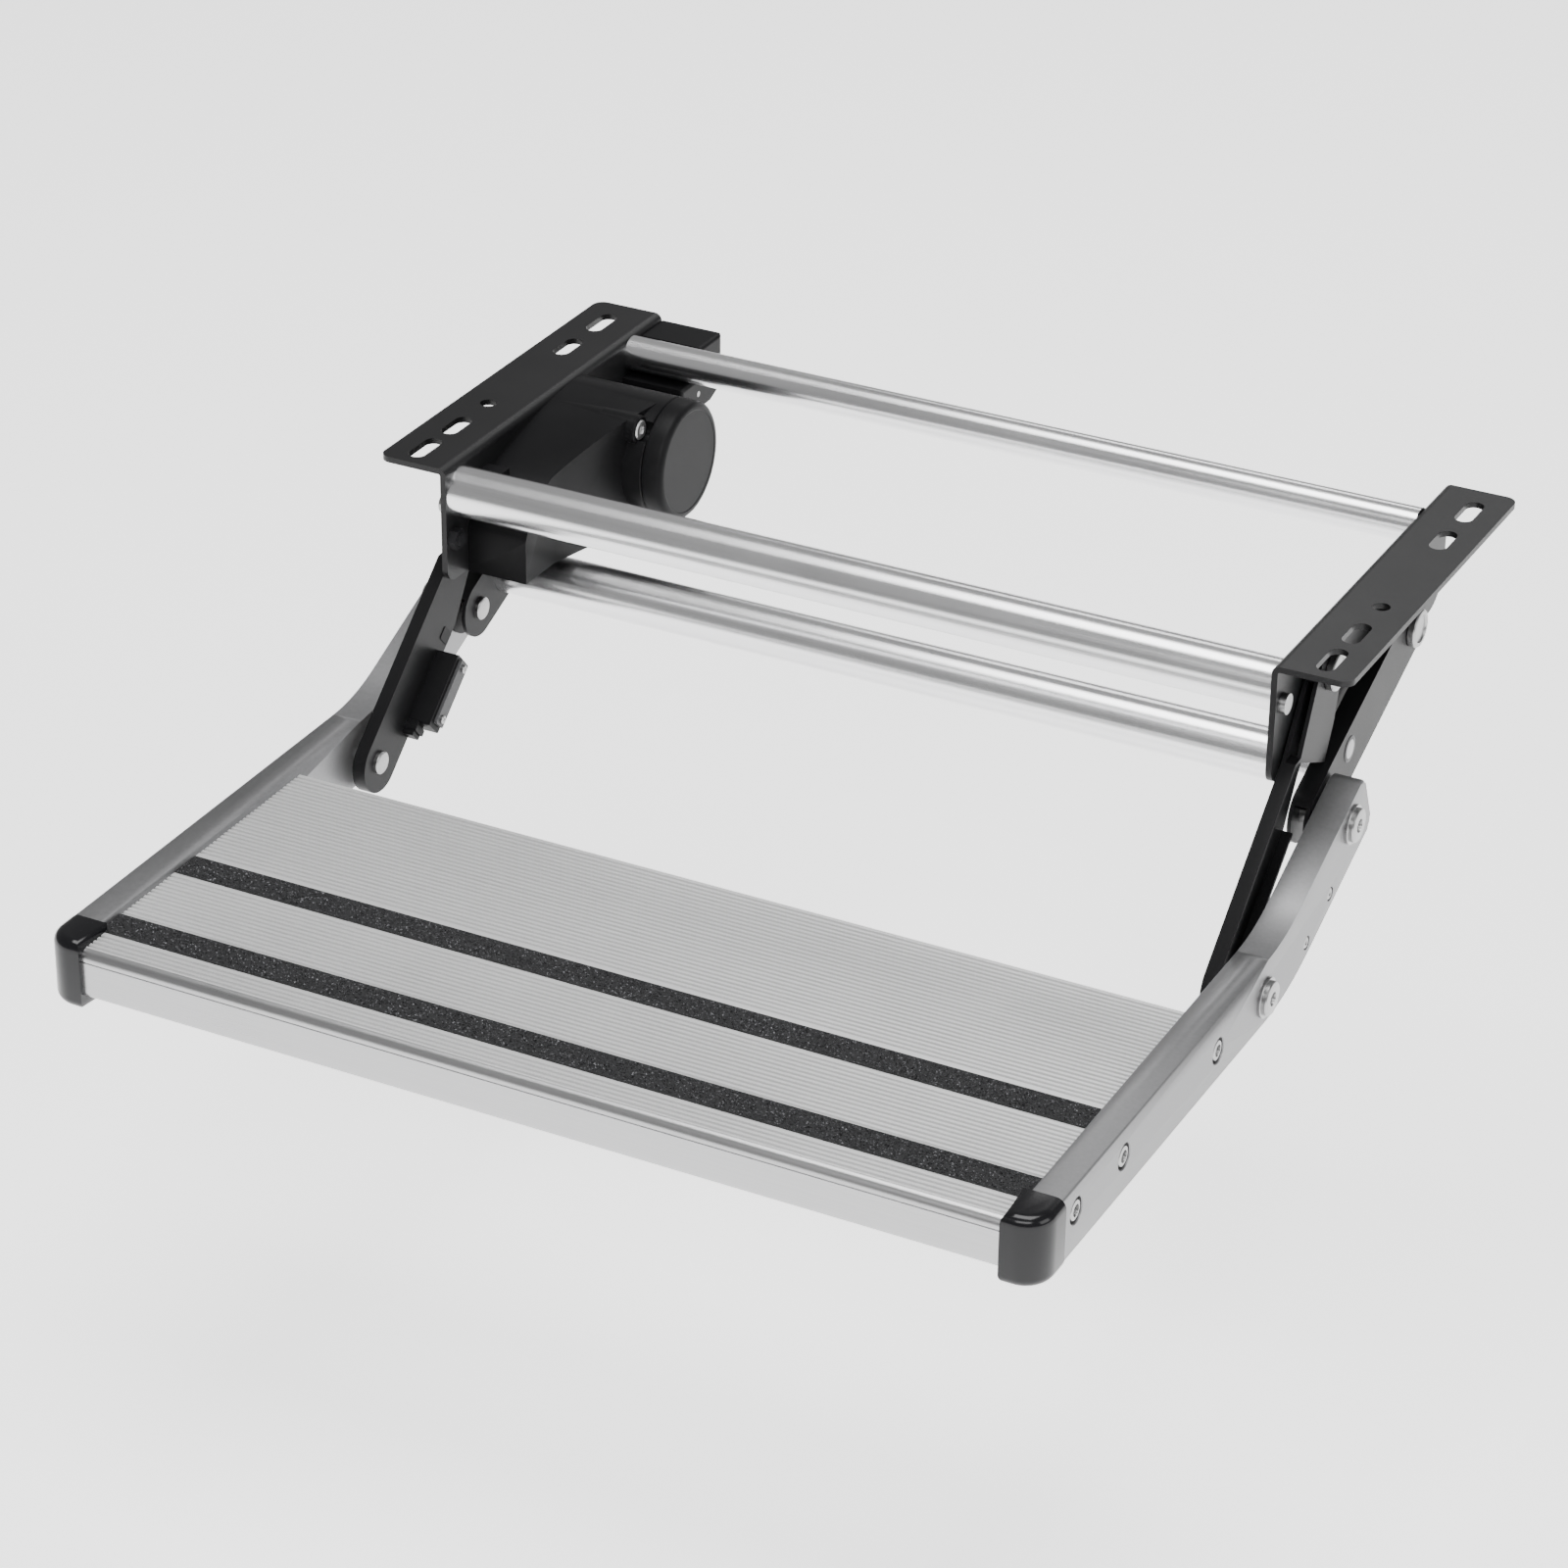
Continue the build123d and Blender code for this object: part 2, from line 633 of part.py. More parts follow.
def gear_outline(teeth, turn):
    """Gear section with straight-flanked teeth, the first one at an angle."""
    pitch = gear_module * teeth / 2
    root = pitch - gear_module * (1 + gear_clearance)
    half_pitch_width = gear_module * pi / 4 - backlash / 2
    lean = gear_module * 0.36
    with BuildSketch() as shape:
        Circle(root)
        with PolarLocations(0, teeth, start_angle=turn):
            Polygon((root - gear_module / 2, -half_pitch_width - lean),
                    (pitch, -half_pitch_width),
                    (pitch + gear_module, -half_pitch_width + lean),
                    (pitch + gear_module, half_pitch_width - lean),
                    (pitch, half_pitch_width),
                    (root - gear_module / 2, half_pitch_width + lean), align=None)
    return shape.sketch


def keyway(start, end, mode=Mode.SUBTRACT, play=key_play, low=key_low):
    """Key on the upper side of the output shaft, or its slot."""
    block((rear_pivot[0] - key_width / 2 - play, rear_pivot[0] + key_width / 2 + play,
           rear_pivot[1] + low - play, rear_pivot[1] + key_high + play), start, end, mode)


with BuildPart() as output_shaft:
    rod(-arm_outer, shaft_end, rear_pivot, shaft_radius)
    rod(-arm_outer, -arm_outer + shaft_bolt_length + 1, rear_pivot, shaft_bolt_radius + fit, Mode.SUBTRACT)
    keyway(-arm_outer, -arm_outer + arm_key_length + key_play)
    keyway(gear_from, gear_from + wheel_key_length + key_play)
output_shaft.part.label = "output_shaft"
export_step(output_shaft.part, "parts/output_shaft.step")

with BuildPart() as output_wheel:
    wheel_face = side_plane(gear_from, rear_pivot) * gear_outline(wheel_teeth, drive_angle)
    extrude(wheel_face, amount=gear_width)
    rod(gear_from - wheel_hub, gear_from, rear_pivot, wheel_hub_radius)
    rod(gear_from - wheel_hub, gear_to, rear_pivot, shaft_radius + fit, Mode.SUBTRACT)
    keyway(gear_from - wheel_hub, gear_to, low=0)
output_wheel.part.label = "output_wheel"
export_step(output_wheel.part, "parts/output_wheel.step")

with BuildPart() as drive_keys:
    keyway(-arm_outer, -arm_outer + arm_key_length, Mode.ADD, 0)
    keyway(gear_from, gear_from + wheel_key_length, Mode.ADD, 0)
drive_keys.part.label = "drive_keys"
export_step(drive_keys.part, "parts/drive_keys.step")

with BuildPart() as shaft_bolt:
    rod(-arm_outer, -arm_outer + shaft_bolt_length, rear_pivot, shaft_bolt_radius)
    rod(-arm_outer - shaft_head, -arm_outer, rear_pivot, shaft_head_radius)
    fillet(shaft_bolt.edges().filter_by(GeomType.CIRCLE).sort_by(Axis.X)[0], stud_round)
shaft_bolt.part.label = "shaft_bolt"
export_step(shaft_bolt.part, "parts/shaft_bolt.step")

shaft_bush_radius = shaft_radius + run + bush_wall
with BuildPart() as shaft_bushes:
    rod(-bracket_outer, plate_bush_end, rear_pivot, shaft_bush_radius)
    rod(-bracket_inner, plate_bush_flange_end, rear_pivot, plate_bush_flange)
    rod(shaft_boss_end, bush_end, rear_pivot, shaft_bush_radius)
    rod(-bracket_outer, bush_end, rear_pivot, shaft_radius + run, Mode.SUBTRACT)
shaft_bushes.part.label = "shaft_bushes"
export_step(shaft_bushes.part, "parts/shaft_bushes.step")

with BuildPart() as pinion:
    half_tooth = 180 / pinion_teeth
    extrude(side_plane(gear_from, motor_at) * gear_outline(pinion_teeth, drive_angle + 180 + half_tooth),
            amount=gear_width)
    rod(gear_from, gear_to, motor_at, pinion_shaft_radius + fit, Mode.SUBTRACT)
pinion.part.label = "pinion"
export_step(pinion.part, "parts/pinion.step")

with BuildPart() as pinion_shaft:
    rod(gear_from, pinion_shaft_end, motor_at, pinion_shaft_radius)
pinion_shaft.part.label = "pinion_shaft"
export_step(pinion_shaft.part, "parts/pinion_shaft.step")

# Gearbox housing, open towards the bracket web, with the motor boss and ears
wheel_tip = wheel_radius + gear_module
bulge = wheel_tip + wheel_room + housing_wall
ears = [(motor_at[0] + ear_reach * cos(radians(turn)), motor_at[1] + ear_reach * sin(radians(turn)))
        for turn in ear_turns]
housing_top = ((housing_front, -20.0), (-36.0, -12.0), (-7.0, -3.5), (37.0, -3.5), (62.0, -8.0),
               (housing_rear, -21.5))
housing_shape = outline([(housing_front, housing_bottom), *housing_top, (housing_rear, rear_pivot[1]),
                         rear_pivot, (rear_pivot[0], housing_bottom)])
with BuildSketch() as housing_bulge:
    with Locations(rear_pivot):
        Circle(bulge)
with BuildSketch() as tube_room:
    with Locations(front_tube_at):
        Circle(front_tube_radius + housing_tube_gap)
housing_shape = housing_shape + housing_bulge.sketch - tube_room.sketch
cavity_shape = offset(housing_shape, amount=-housing_wall, kind=Kind.INTERSECTION)
inner_face = housing_side - housing_wall
with BuildPart() as gearbox_housing:
    extrude(at_side(housing_shape, -bracket_inner), amount=housing_side + bracket_inner)
    outer_edges = gearbox_housing.faces().sort_by(Axis.X)[-1].edges()
    fillet(outer_edges.filter_by(lambda e: e.length > housing_round), housing_front_round / 2)
    rod(inner_face, motor_boss_end, motor_at, motor_boss_radius)
    for ear in ears:
        rod(inner_face, ear_end, ear, ear_radius)
    block(lug_box, -bracket_inner, -bracket_inner + lug_width)
    extrude(at_side(cavity_shape, -bracket_inner), amount=inner_face + bracket_inner, mode=Mode.SUBTRACT)
    rod(housing_side, motor_boss_end, motor_at, motor_radius + motor_play, Mode.SUBTRACT)
    rod(inner_face, housing_side, motor_at, pinion_opening, Mode.SUBTRACT)
    rod(shaft_boss_end, housing_side, rear_pivot, shaft_boss_radius)
    rod(shaft_boss_end, bush_end, rear_pivot, shaft_bush_radius + fit, Mode.SUBTRACT)
    for ear in ears:
        rod(ear_end - ear_recess, ear_end, ear, ear_screw_head_radius + fit, Mode.SUBTRACT)
        rod(ear_end - ear_screw_length, ear_end, ear, ear_screw_radius + fit, Mode.SUBTRACT)
gearbox_housing.part.label = "gearbox_housing"
export_step(gearbox_housing.part, "parts/gearbox_housing.step")

with BuildPart() as housing_screws:
    for ear in ears:
        seat = ear_end - ear_recess
        rod(ear_end - ear_screw_length, seat, ear, ear_screw_radius)
        rod(seat, seat + ear_screw_head, ear, ear_screw_head_radius)
        with BuildSketch(side_plane(seat + ear_screw_head, ear)):
            RegularPolygon(ear_socket_radius, 6)
        extrude(amount=-ear_screw_head / 2, mode=Mode.SUBTRACT)
housing_screws.part.label = "housing_screws"
export_step(housing_screws.part, "parts/housing_screws.step")

# Geared motor: can, sealed core, cap and the bush of its output shaft
can_end = motor_end - motor_cap_skin
can_bottom = 2 * motor_can_wall
with BuildPart() as motor_can:
    rod(housing_side, can_end, motor_at, motor_radius)
    rod(housing_side + can_bottom, can_end, motor_at, motor_radius - motor_can_wall, Mode.SUBTRACT)
    rod(housing_side, housing_side + can_bottom, motor_at, pinion_bush_radius + fit, Mode.SUBTRACT)
motor_can.part.label = "motor_can"
export_step(motor_can.part, "parts/motor_can.step")

with BuildPart() as motor_core:
    rod(housing_side + can_bottom, can_end, motor_at, motor_radius - motor_can_wall - fit)
    rod(housing_side + can_bottom, pinion_shaft_end, motor_at, pinion_bush_radius + fit, Mode.SUBTRACT)
motor_core.part.label = "motor_core"
export_step(motor_core.part, "parts/motor_core.step")

with BuildPart() as pinion_bush:
    rod(housing_side, pinion_shaft_end, motor_at, pinion_bush_radius)
    rod(housing_side, pinion_shaft_end, motor_at, pinion_shaft_radius + run, Mode.SUBTRACT)
pinion_bush.part.label = "pinion_bush"
export_step(pinion_bush.part, "parts/pinion_bush.step")

with BuildPart() as motor_cap:
    rod(motor_cap_from, motor_end, motor_at, motor_boss_radius)
    fillet(motor_cap.edges().filter_by(GeomType.CIRCLE).sort_by(Axis.X)[-1], motor_cap_round)
    rod(motor_cap_from, can_end, motor_at, motor_radius + fit, Mode.SUBTRACT)
motor_cap.part.label = "motor_cap"
export_step(motor_cap.part, "parts/motor_cap.step")

# Control box round the rear tube: base on the web and lid
control_shape = outline([(control_front, control_bottom), (control_front, control_shelf),
                         (control_step, control_shelf), (control_step, control_top),
                         (control_rear, control_top),
                         (control_rear, control_bottom + control_rear_slope),
                         (control_rear - control_bottom_slope, control_bottom)])
control_cavity = offset(control_shape, amount=-control_wall, kind=Kind.INTERSECTION)
control_floor = -bracket_inner + control_wall
with BuildPart() as control_base:
    extrude(at_side(control_shape, -bracket_inner), amount=control_split + bracket_inner)
    extrude(at_side(control_cavity, control_floor), amount=control_split - control_floor,
            mode=Mode.SUBTRACT)
    rod(-bracket_inner, control_floor, control_hole_at, control_hole_radius, Mode.SUBTRACT)
control_base.part.label = "control_base"
export_step(control_base.part, "parts/control_base.step")

with BuildPart() as control_lid:
    extrude(at_side(control_shape, control_split), amount=control_side - control_split)
    fillet(control_lid.faces().sort_by(Axis.X)[-1].edges(), control_round)
    extrude(at_side(control_cavity, control_split), amount=control_side - control_wall - control_split,
            mode=Mode.SUBTRACT)
    rod(control_side - control_wall, control_side, control_hole_at, control_hole_radius, Mode.SUBTRACT)
control_lid.part.label = "control_lid"
export_step(control_lid.part, "parts/control_lid.step")

with BuildPart() as control_board:
    block(board_box, control_floor, control_floor + board_thickness)
    block(relay_at, control_floor + board_thickness, control_floor + board_thickness + relay_height)
control_board.part.label = "control_board"
export_step(control_board.part, "parts/control_board.step")

with BuildPart() as control_screw:
    rod(-bracket_inner, control_side - fit, control_hole_at, control_hole_radius - fit)
control_screw.part.label = "control_screw"
export_step(control_screw.part, "parts/control_screw.step")

# Step rails: bent hollow sections, open at the front under the end caps
bend = radians(rail_bend)
inner_radius, outer_radius = rail_bend_radius, rail_bend_radius + rail_depth
bend_centre = (rail_bend_start, rail_top + inner_radius)


def rail_outline(skin, front):
    """Side view of the rail set in by a skin, with its front end at one Y."""
    inner, outer = inner_radius + skin, outer_radius - skin
    top_end = (bend_centre[0] + inner * sin(bend), bend_centre[1] - inner * cos(bend))
    low_end = (bend_centre[0] + outer * sin(bend), bend_centre[1] - outer * cos(bend))
    straight = rail_straight - skin
    run_on = (straight * cos(bend), straight * sin(bend))
    with BuildSketch() as shape:
        with BuildLine():
            Line((front, rail_top - skin), (rail_bend_start, rail_top - skin))
            CenterArc(bend_centre, inner, -90, rail_bend)
            Line(top_end, (top_end[0] + run_on[0], top_end[1] + run_on[1]))
            Line((top_end[0] + run_on[0], top_end[1] + run_on[1]),
                 (low_end[0] + run_on[0], low_end[1] + run_on[1]))
            Line((low_end[0] + run_on[0], low_end[1] + run_on[1]), low_end)
            CenterArc(bend_centre, outer, -90, rail_bend)
            Line((rail_bend_start, rail_top - rail_depth + skin), (front, rail_top - rail_depth + skin))
            Line((front, rail_top - rail_depth + skin), (front, rail_top - skin))
        make_face()
        fillet(shape.vertices().sort_by(Axis.X)[-2:], rail_end_round - skin)
    return shape.sketch


rail_shape = rail_outline(0, rail_front)
cavity = rail_outline(rail_wall, rail_front - rail_wall)
with BuildSketch() as insert_window:
    with Locations(((insert_front + insert_rear) / 2, rear_rail_pivot[1])):
        Rectangle(insert_rear - insert_front, 2 * arm_reach * 2)
insert_shape = rail_outline(rail_wall + insert_play, rail_front) & insert_window.sketch
for side, sign in sides:
    with BuildPart() as rail:
        extrude(at_side(rail_shape, sign * rail_inner), amount=sign * rail_width)
        long_edges = rail.edges().filter_by(lambda e: e.length > rail_width + rail_edge_round)
        fillet(long_edges, rail_edge_round)
        extrude(at_side(cavity, sign * (rail_inner + rail_wall)),
                amount=sign * (rail_width - 2 * rail_wall), mode=Mode.SUBTRACT)
        for place in (front_rail_pivot, rear_rail_pivot):
            rod(sign * rail_inner, sign * rail_outer, place, rail_pin_radius + 2 * run, Mode.SUBTRACT)
        for place in rail_screws_at:
            rod(sign * rail_inner, sign * rail_outer, place, rail_screw_radius + fit, Mode.SUBTRACT)
        for place in insert_screws_at:
            rod(sign * (rail_outer - rail_wall), sign * rail_outer, place,
                insert_screw_head_radius / 2 + fit, Mode.SUBTRACT)
    rail.part.label = f"rail_{side}"
    export_step(rail.part, f"parts/rail_{side}.step")

    with BuildPart() as insert:
        start = rail_inner + rail_wall + insert_play
        end = rail_outer - rail_wall - insert_play
        extrude(at_side(insert_shape, sign * start), amount=sign * (end - start))
        for place in (front_rail_pivot, rear_rail_pivot):
            rod(sign * start, sign * end, place, rail_pin_radius + run, Mode.SUBTRACT)
        for place in insert_screws_at:
            rod(sign * (end - rail_pin_reach / 2), sign * end, place,
                insert_screw_head_radius / 2 + fit, Mode.SUBTRACT)
    insert.part.label = f"insert_{side}"
    export_step(insert.part, f"parts/insert_{side}.step")

# Headed studs in the rails: the upper one is the rail half of that pivot and
# stays clear of the arm, the lower one closes the bore of the front arm's pin
with BuildPart() as rail_studs:
    for side, sign in sides:
        for place, start in ((rear_rail_pivot, rail_inner - open_pivot_gap),
                             (front_rail_pivot, rail_inner + rail_pin_reach + open_pivot_gap)):
            rod(sign * start, sign * rail_outer, place, rail_pin_radius)
            rod(sign * rail_outer, sign * (rail_outer + rail_stud_head), place, rail_stud_head_radius)
    heads = rail_studs.edges().filter_by(GeomType.CIRCLE)
    heads = heads.filter_by(lambda e: abs(abs(e.center().X) - rail_outer - rail_stud_head) < fit)
    fillet(heads, stud_round)
rail_studs.part.label = "rail_studs"
export_step(rail_studs.part, "parts/rail_studs.step")

with BuildPart() as rail_screws:
    for side, sign in sides:
        for place in rail_screws_at:
            rod(sign * (rail_inner - rail_screw_length), sign * rail_outer, place, rail_screw_radius)
            rod(sign * rail_outer, sign * (rail_outer + rail_screw_head), place, rail_screw_head_radius)
rail_screws.part.label = "rail_screws"
export_step(rail_screws.part, "parts/rail_screws.step")

with BuildPart() as insert_screws:
    for side, sign in sides:
        for place in insert_screws_at:
            tip = rail_outer - rail_wall - insert_play - rail_pin_reach / 2
            rod(sign * tip, sign * rail_outer, place, insert_screw_head_radius / 2)
            rod(sign * rail_outer, sign * (rail_outer + insert_screw_head), place, insert_screw_head_radius)
insert_screws.part.label = "insert_screws"
export_step(insert_screws.part, "parts/insert_screws.step")

# Tread board: ribbed hollow extrusion with screw ports and a rounded nosing
tread_depth = tread_rear - tread_nose
tread_height = tread_top - tread_bottom
tread_middle = ((tread_rear + tread_nose) / 2, (tread_top + tread_bottom) / 2)
recess = strip_thickness - strip_proud
strip_spans = [(edge, edge + strip_width) for edge in strip_front_edges]
rib_count = int((tread_depth - nose_round) / rib_pitch)
groove_lines = [tread_rear - rib_pitch * (step + 1) for step in range(rib_count)]
groove_lines = [y for y in groove_lines
                if all(y < low - rib_pitch / 2 or y > high + rib_pitch / 2 for low, high in strip_spans)
                and y > tread_nose + nose_round]
web_lines = [tread_nose + tread_depth * (step + 1) / (tread_webs + 1) for step in range(tread_webs)]
with BuildSketch() as tread_section:
    with Locations(tread_middle):
        Rectangle(tread_depth, tread_height)
    fillet(tread_section.vertices().sort_by(Axis.X)[:2].sort_by(Axis.Y)[-1], nose_round)
    fillet(tread_section.vertices().sort_by(Axis.Y)[:2].sort_by(Axis.X)[0], nose_lower_round)
    with Locations(tread_middle):
        RectangleRounded(tread_depth - 2 * tread_skin, tread_height - 2 * tread_skin,
                         nose_round - tread_skin, mode=Mode.SUBTRACT)
    with Locations(*[(y, tread_middle[1]) for y in web_lines]):
        Rectangle(tread_web, tread_height - tread_skin)
    with Locations(*rail_screws_at):
        Circle(rail_screw_radius + tread_web)
    with Locations(*[(place[0], (place[1] + tread_bottom) / 2) for place in rail_screws_at]):
        Rectangle(tread_web, rail_screws_at[0][1] - tread_bottom)
    with Locations(*rail_screws_at):
        Circle(rail_screw_radius + fit, mode=Mode.SUBTRACT)
    with Locations(*[((low + high) / 2, tread_top) for low, high in strip_spans]):
        Rectangle(strip_width + fit, 2 * recess, mode=Mode.SUBTRACT)
    with Locations(*[(y, tread_top) for y in groove_lines]):
        Rectangle(rib_gap, 2 * rib_depth, mode=Mode.SUBTRACT)
    with Locations(*[(tread_nose, tread_top - nose_round - nose_line_pitch * line)
                     for line in range(nose_lines)]):
        Rectangle(2 * nose_line_depth, nose_line_width, mode=Mode.SUBTRACT)
with BuildPart() as tread:
    extrude(at_side(tread_section.sketch, -tread_half), amount=2 * tread_half)
    for side, sign in sides:
        block((tread_nose - side_play, rail_front + side_play, tread_bottom - side_play,
               tread_top + side_play), sign * (cap_inner - side_play), sign * tread_half, Mode.SUBTRACT)
tread.part.label = "tread"
export_step(tread.part, "parts/tread.step")

with BuildPart() as grip_strips:
    for low, high in strip_spans:
        block((low, high, tread_top - recess, tread_top + strip_proud), -strip_half, strip_half)
    fillet(grip_strips.edges().filter_by(Axis.X).group_by(Axis.Z)[-1], strip_round)
grip_strips.part.label = "grip_strips"
export_step(grip_strips.part, "parts/grip_strips.step")

# Moulded end caps over the front of the rails and the ends of the nosing
for side, sign in sides:
    with BuildPart() as end_cap:
        block((cap_front, rail_front, cap_bottom, cap_top), sign * cap_inner, sign * cap_outer)
        upright = end_cap.edges().filter_by(Axis.Z).group_by(Axis.Y)[0].sort_by(Axis.X)
        fillet(upright[-1] if sign > 0 else upright[0], cap_corner)
        upper = end_cap.faces().sort_by(Axis.Z)[-1].edges()
        upper = upper.filter_by(lambda e: e.center().Y < rail_front - side_play)
        fillet(upper, cap_round)
        gap = rail_wall + cap_spigot_play
        block((rail_front, rail_front + cap_spigot, rail_top - rail_depth + gap, rail_top - gap),
              sign * (rail_inner + gap), sign * (rail_outer - gap))
    end_cap.part.label = f"end_cap_{side}"
    export_step(end_cap.part, f"parts/end_cap_{side}.step")
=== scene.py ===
"""Looks of a motorised swing-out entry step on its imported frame.

Brackets, tubes, rear arms, motor and control box are the frame's own nodes in
new finishes. The tread, caps, rails, front arms, gearbox housing, switch, studs
and strips are made here in finer form, and stand for the plainer nodes. The
camera looks from the photograph's angle, over a pale floor with soft lights.
"""

from __future__ import annotations

import logging
import math
from dataclasses import dataclass, field
from enum import Enum
from typing import Callable, Mapping, Sequence

import bmesh
import bpy
from mathutils import Matrix, Vector

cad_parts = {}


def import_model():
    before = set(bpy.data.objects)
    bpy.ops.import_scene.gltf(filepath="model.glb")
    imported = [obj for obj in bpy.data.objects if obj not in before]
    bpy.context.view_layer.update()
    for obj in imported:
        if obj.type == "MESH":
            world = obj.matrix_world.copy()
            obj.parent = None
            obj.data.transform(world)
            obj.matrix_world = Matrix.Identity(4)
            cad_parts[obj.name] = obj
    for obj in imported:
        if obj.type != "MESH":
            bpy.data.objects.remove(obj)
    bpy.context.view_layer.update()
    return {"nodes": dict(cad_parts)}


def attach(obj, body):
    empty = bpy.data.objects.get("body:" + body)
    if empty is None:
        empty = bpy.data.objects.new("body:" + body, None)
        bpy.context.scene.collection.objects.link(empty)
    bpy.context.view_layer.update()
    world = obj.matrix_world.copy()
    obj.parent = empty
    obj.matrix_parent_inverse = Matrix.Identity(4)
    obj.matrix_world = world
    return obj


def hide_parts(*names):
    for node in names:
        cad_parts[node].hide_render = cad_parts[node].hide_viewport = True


LOG = logging.getLogger("entry_step")
MM = 0.001

Triple = tuple[float, float, float]
Colour = tuple[float, float, float]
Point = tuple[float, float]
Outline = list[Point]
Profile = tuple[Point, ...]

EVEN: Triple = (1.0, 1.0, 1.0)  # noise without a direction
NEAR = 0.1  # millimetres of play in tests of place
WELD = 1e-7  # metres below which points are joined
ARM_SLOPE = 41.3  # degrees, of the lower front arm
ARM_FOOT: Point = (-141.0, -133.0)  # its lower pivot


class Grain(Enum):
    """Direction in which a drawn or brushed metal is lined."""

    ACROSS = (0.25, 420.0, 420.0)
    NONE = (60.0, 60.0, 60.0)


class Side(Enum):
    """Left and right of the step, as the sign of X."""

    LEFT = -1
    RIGHT = 1


# ---- shader maths -------------------------------------------------------


class Signal:
    """One shader socket that can be used in a Python expression."""

    def __init__(self, bench: "Bench", socket: bpy.types.NodeSocket) -> None:
        """Keeps the socket and the material it belongs to.

        Args:
            bench: the material being made.
            socket: an output socket of one of its nodes.
        """
        self.bench = bench
        self.socket = socket

    def _math(self, how: str, first: object, second: object) -> "Signal":
        """Adds one Math node.

        Args:
            how: the node's operation.
            first: a signal or a number.
            second: a signal or a number.

        Returns:
            The node's result.
        """
        return self.bench.node("ShaderNodeMath", {"operation": how}, {0: first, 1: second})

    def __add__(self, other: object) -> "Signal":
        """Sum with a signal or a number."""
        return self._math("ADD", self, other)

    def __radd__(self, other: object) -> "Signal":
        """Sum with a number on the left."""
        return self._math("ADD", other, self)

    def __sub__(self, other: object) -> "Signal":
        """Difference from a signal or a number."""
        return self._math("SUBTRACT", self, other)

    def __rsub__(self, other: object) -> "Signal":
        """A number less this signal."""
        return self._math("SUBTRACT", other, self)

    def __mul__(self, other: object) -> "Signal":
        """Product with a signal or a number."""
        return self._math("MULTIPLY", self, other)

    def __rmul__(self, other: object) -> "Signal":
        """Product with a number on the left."""
        return self._math("MULTIPLY", other, self)


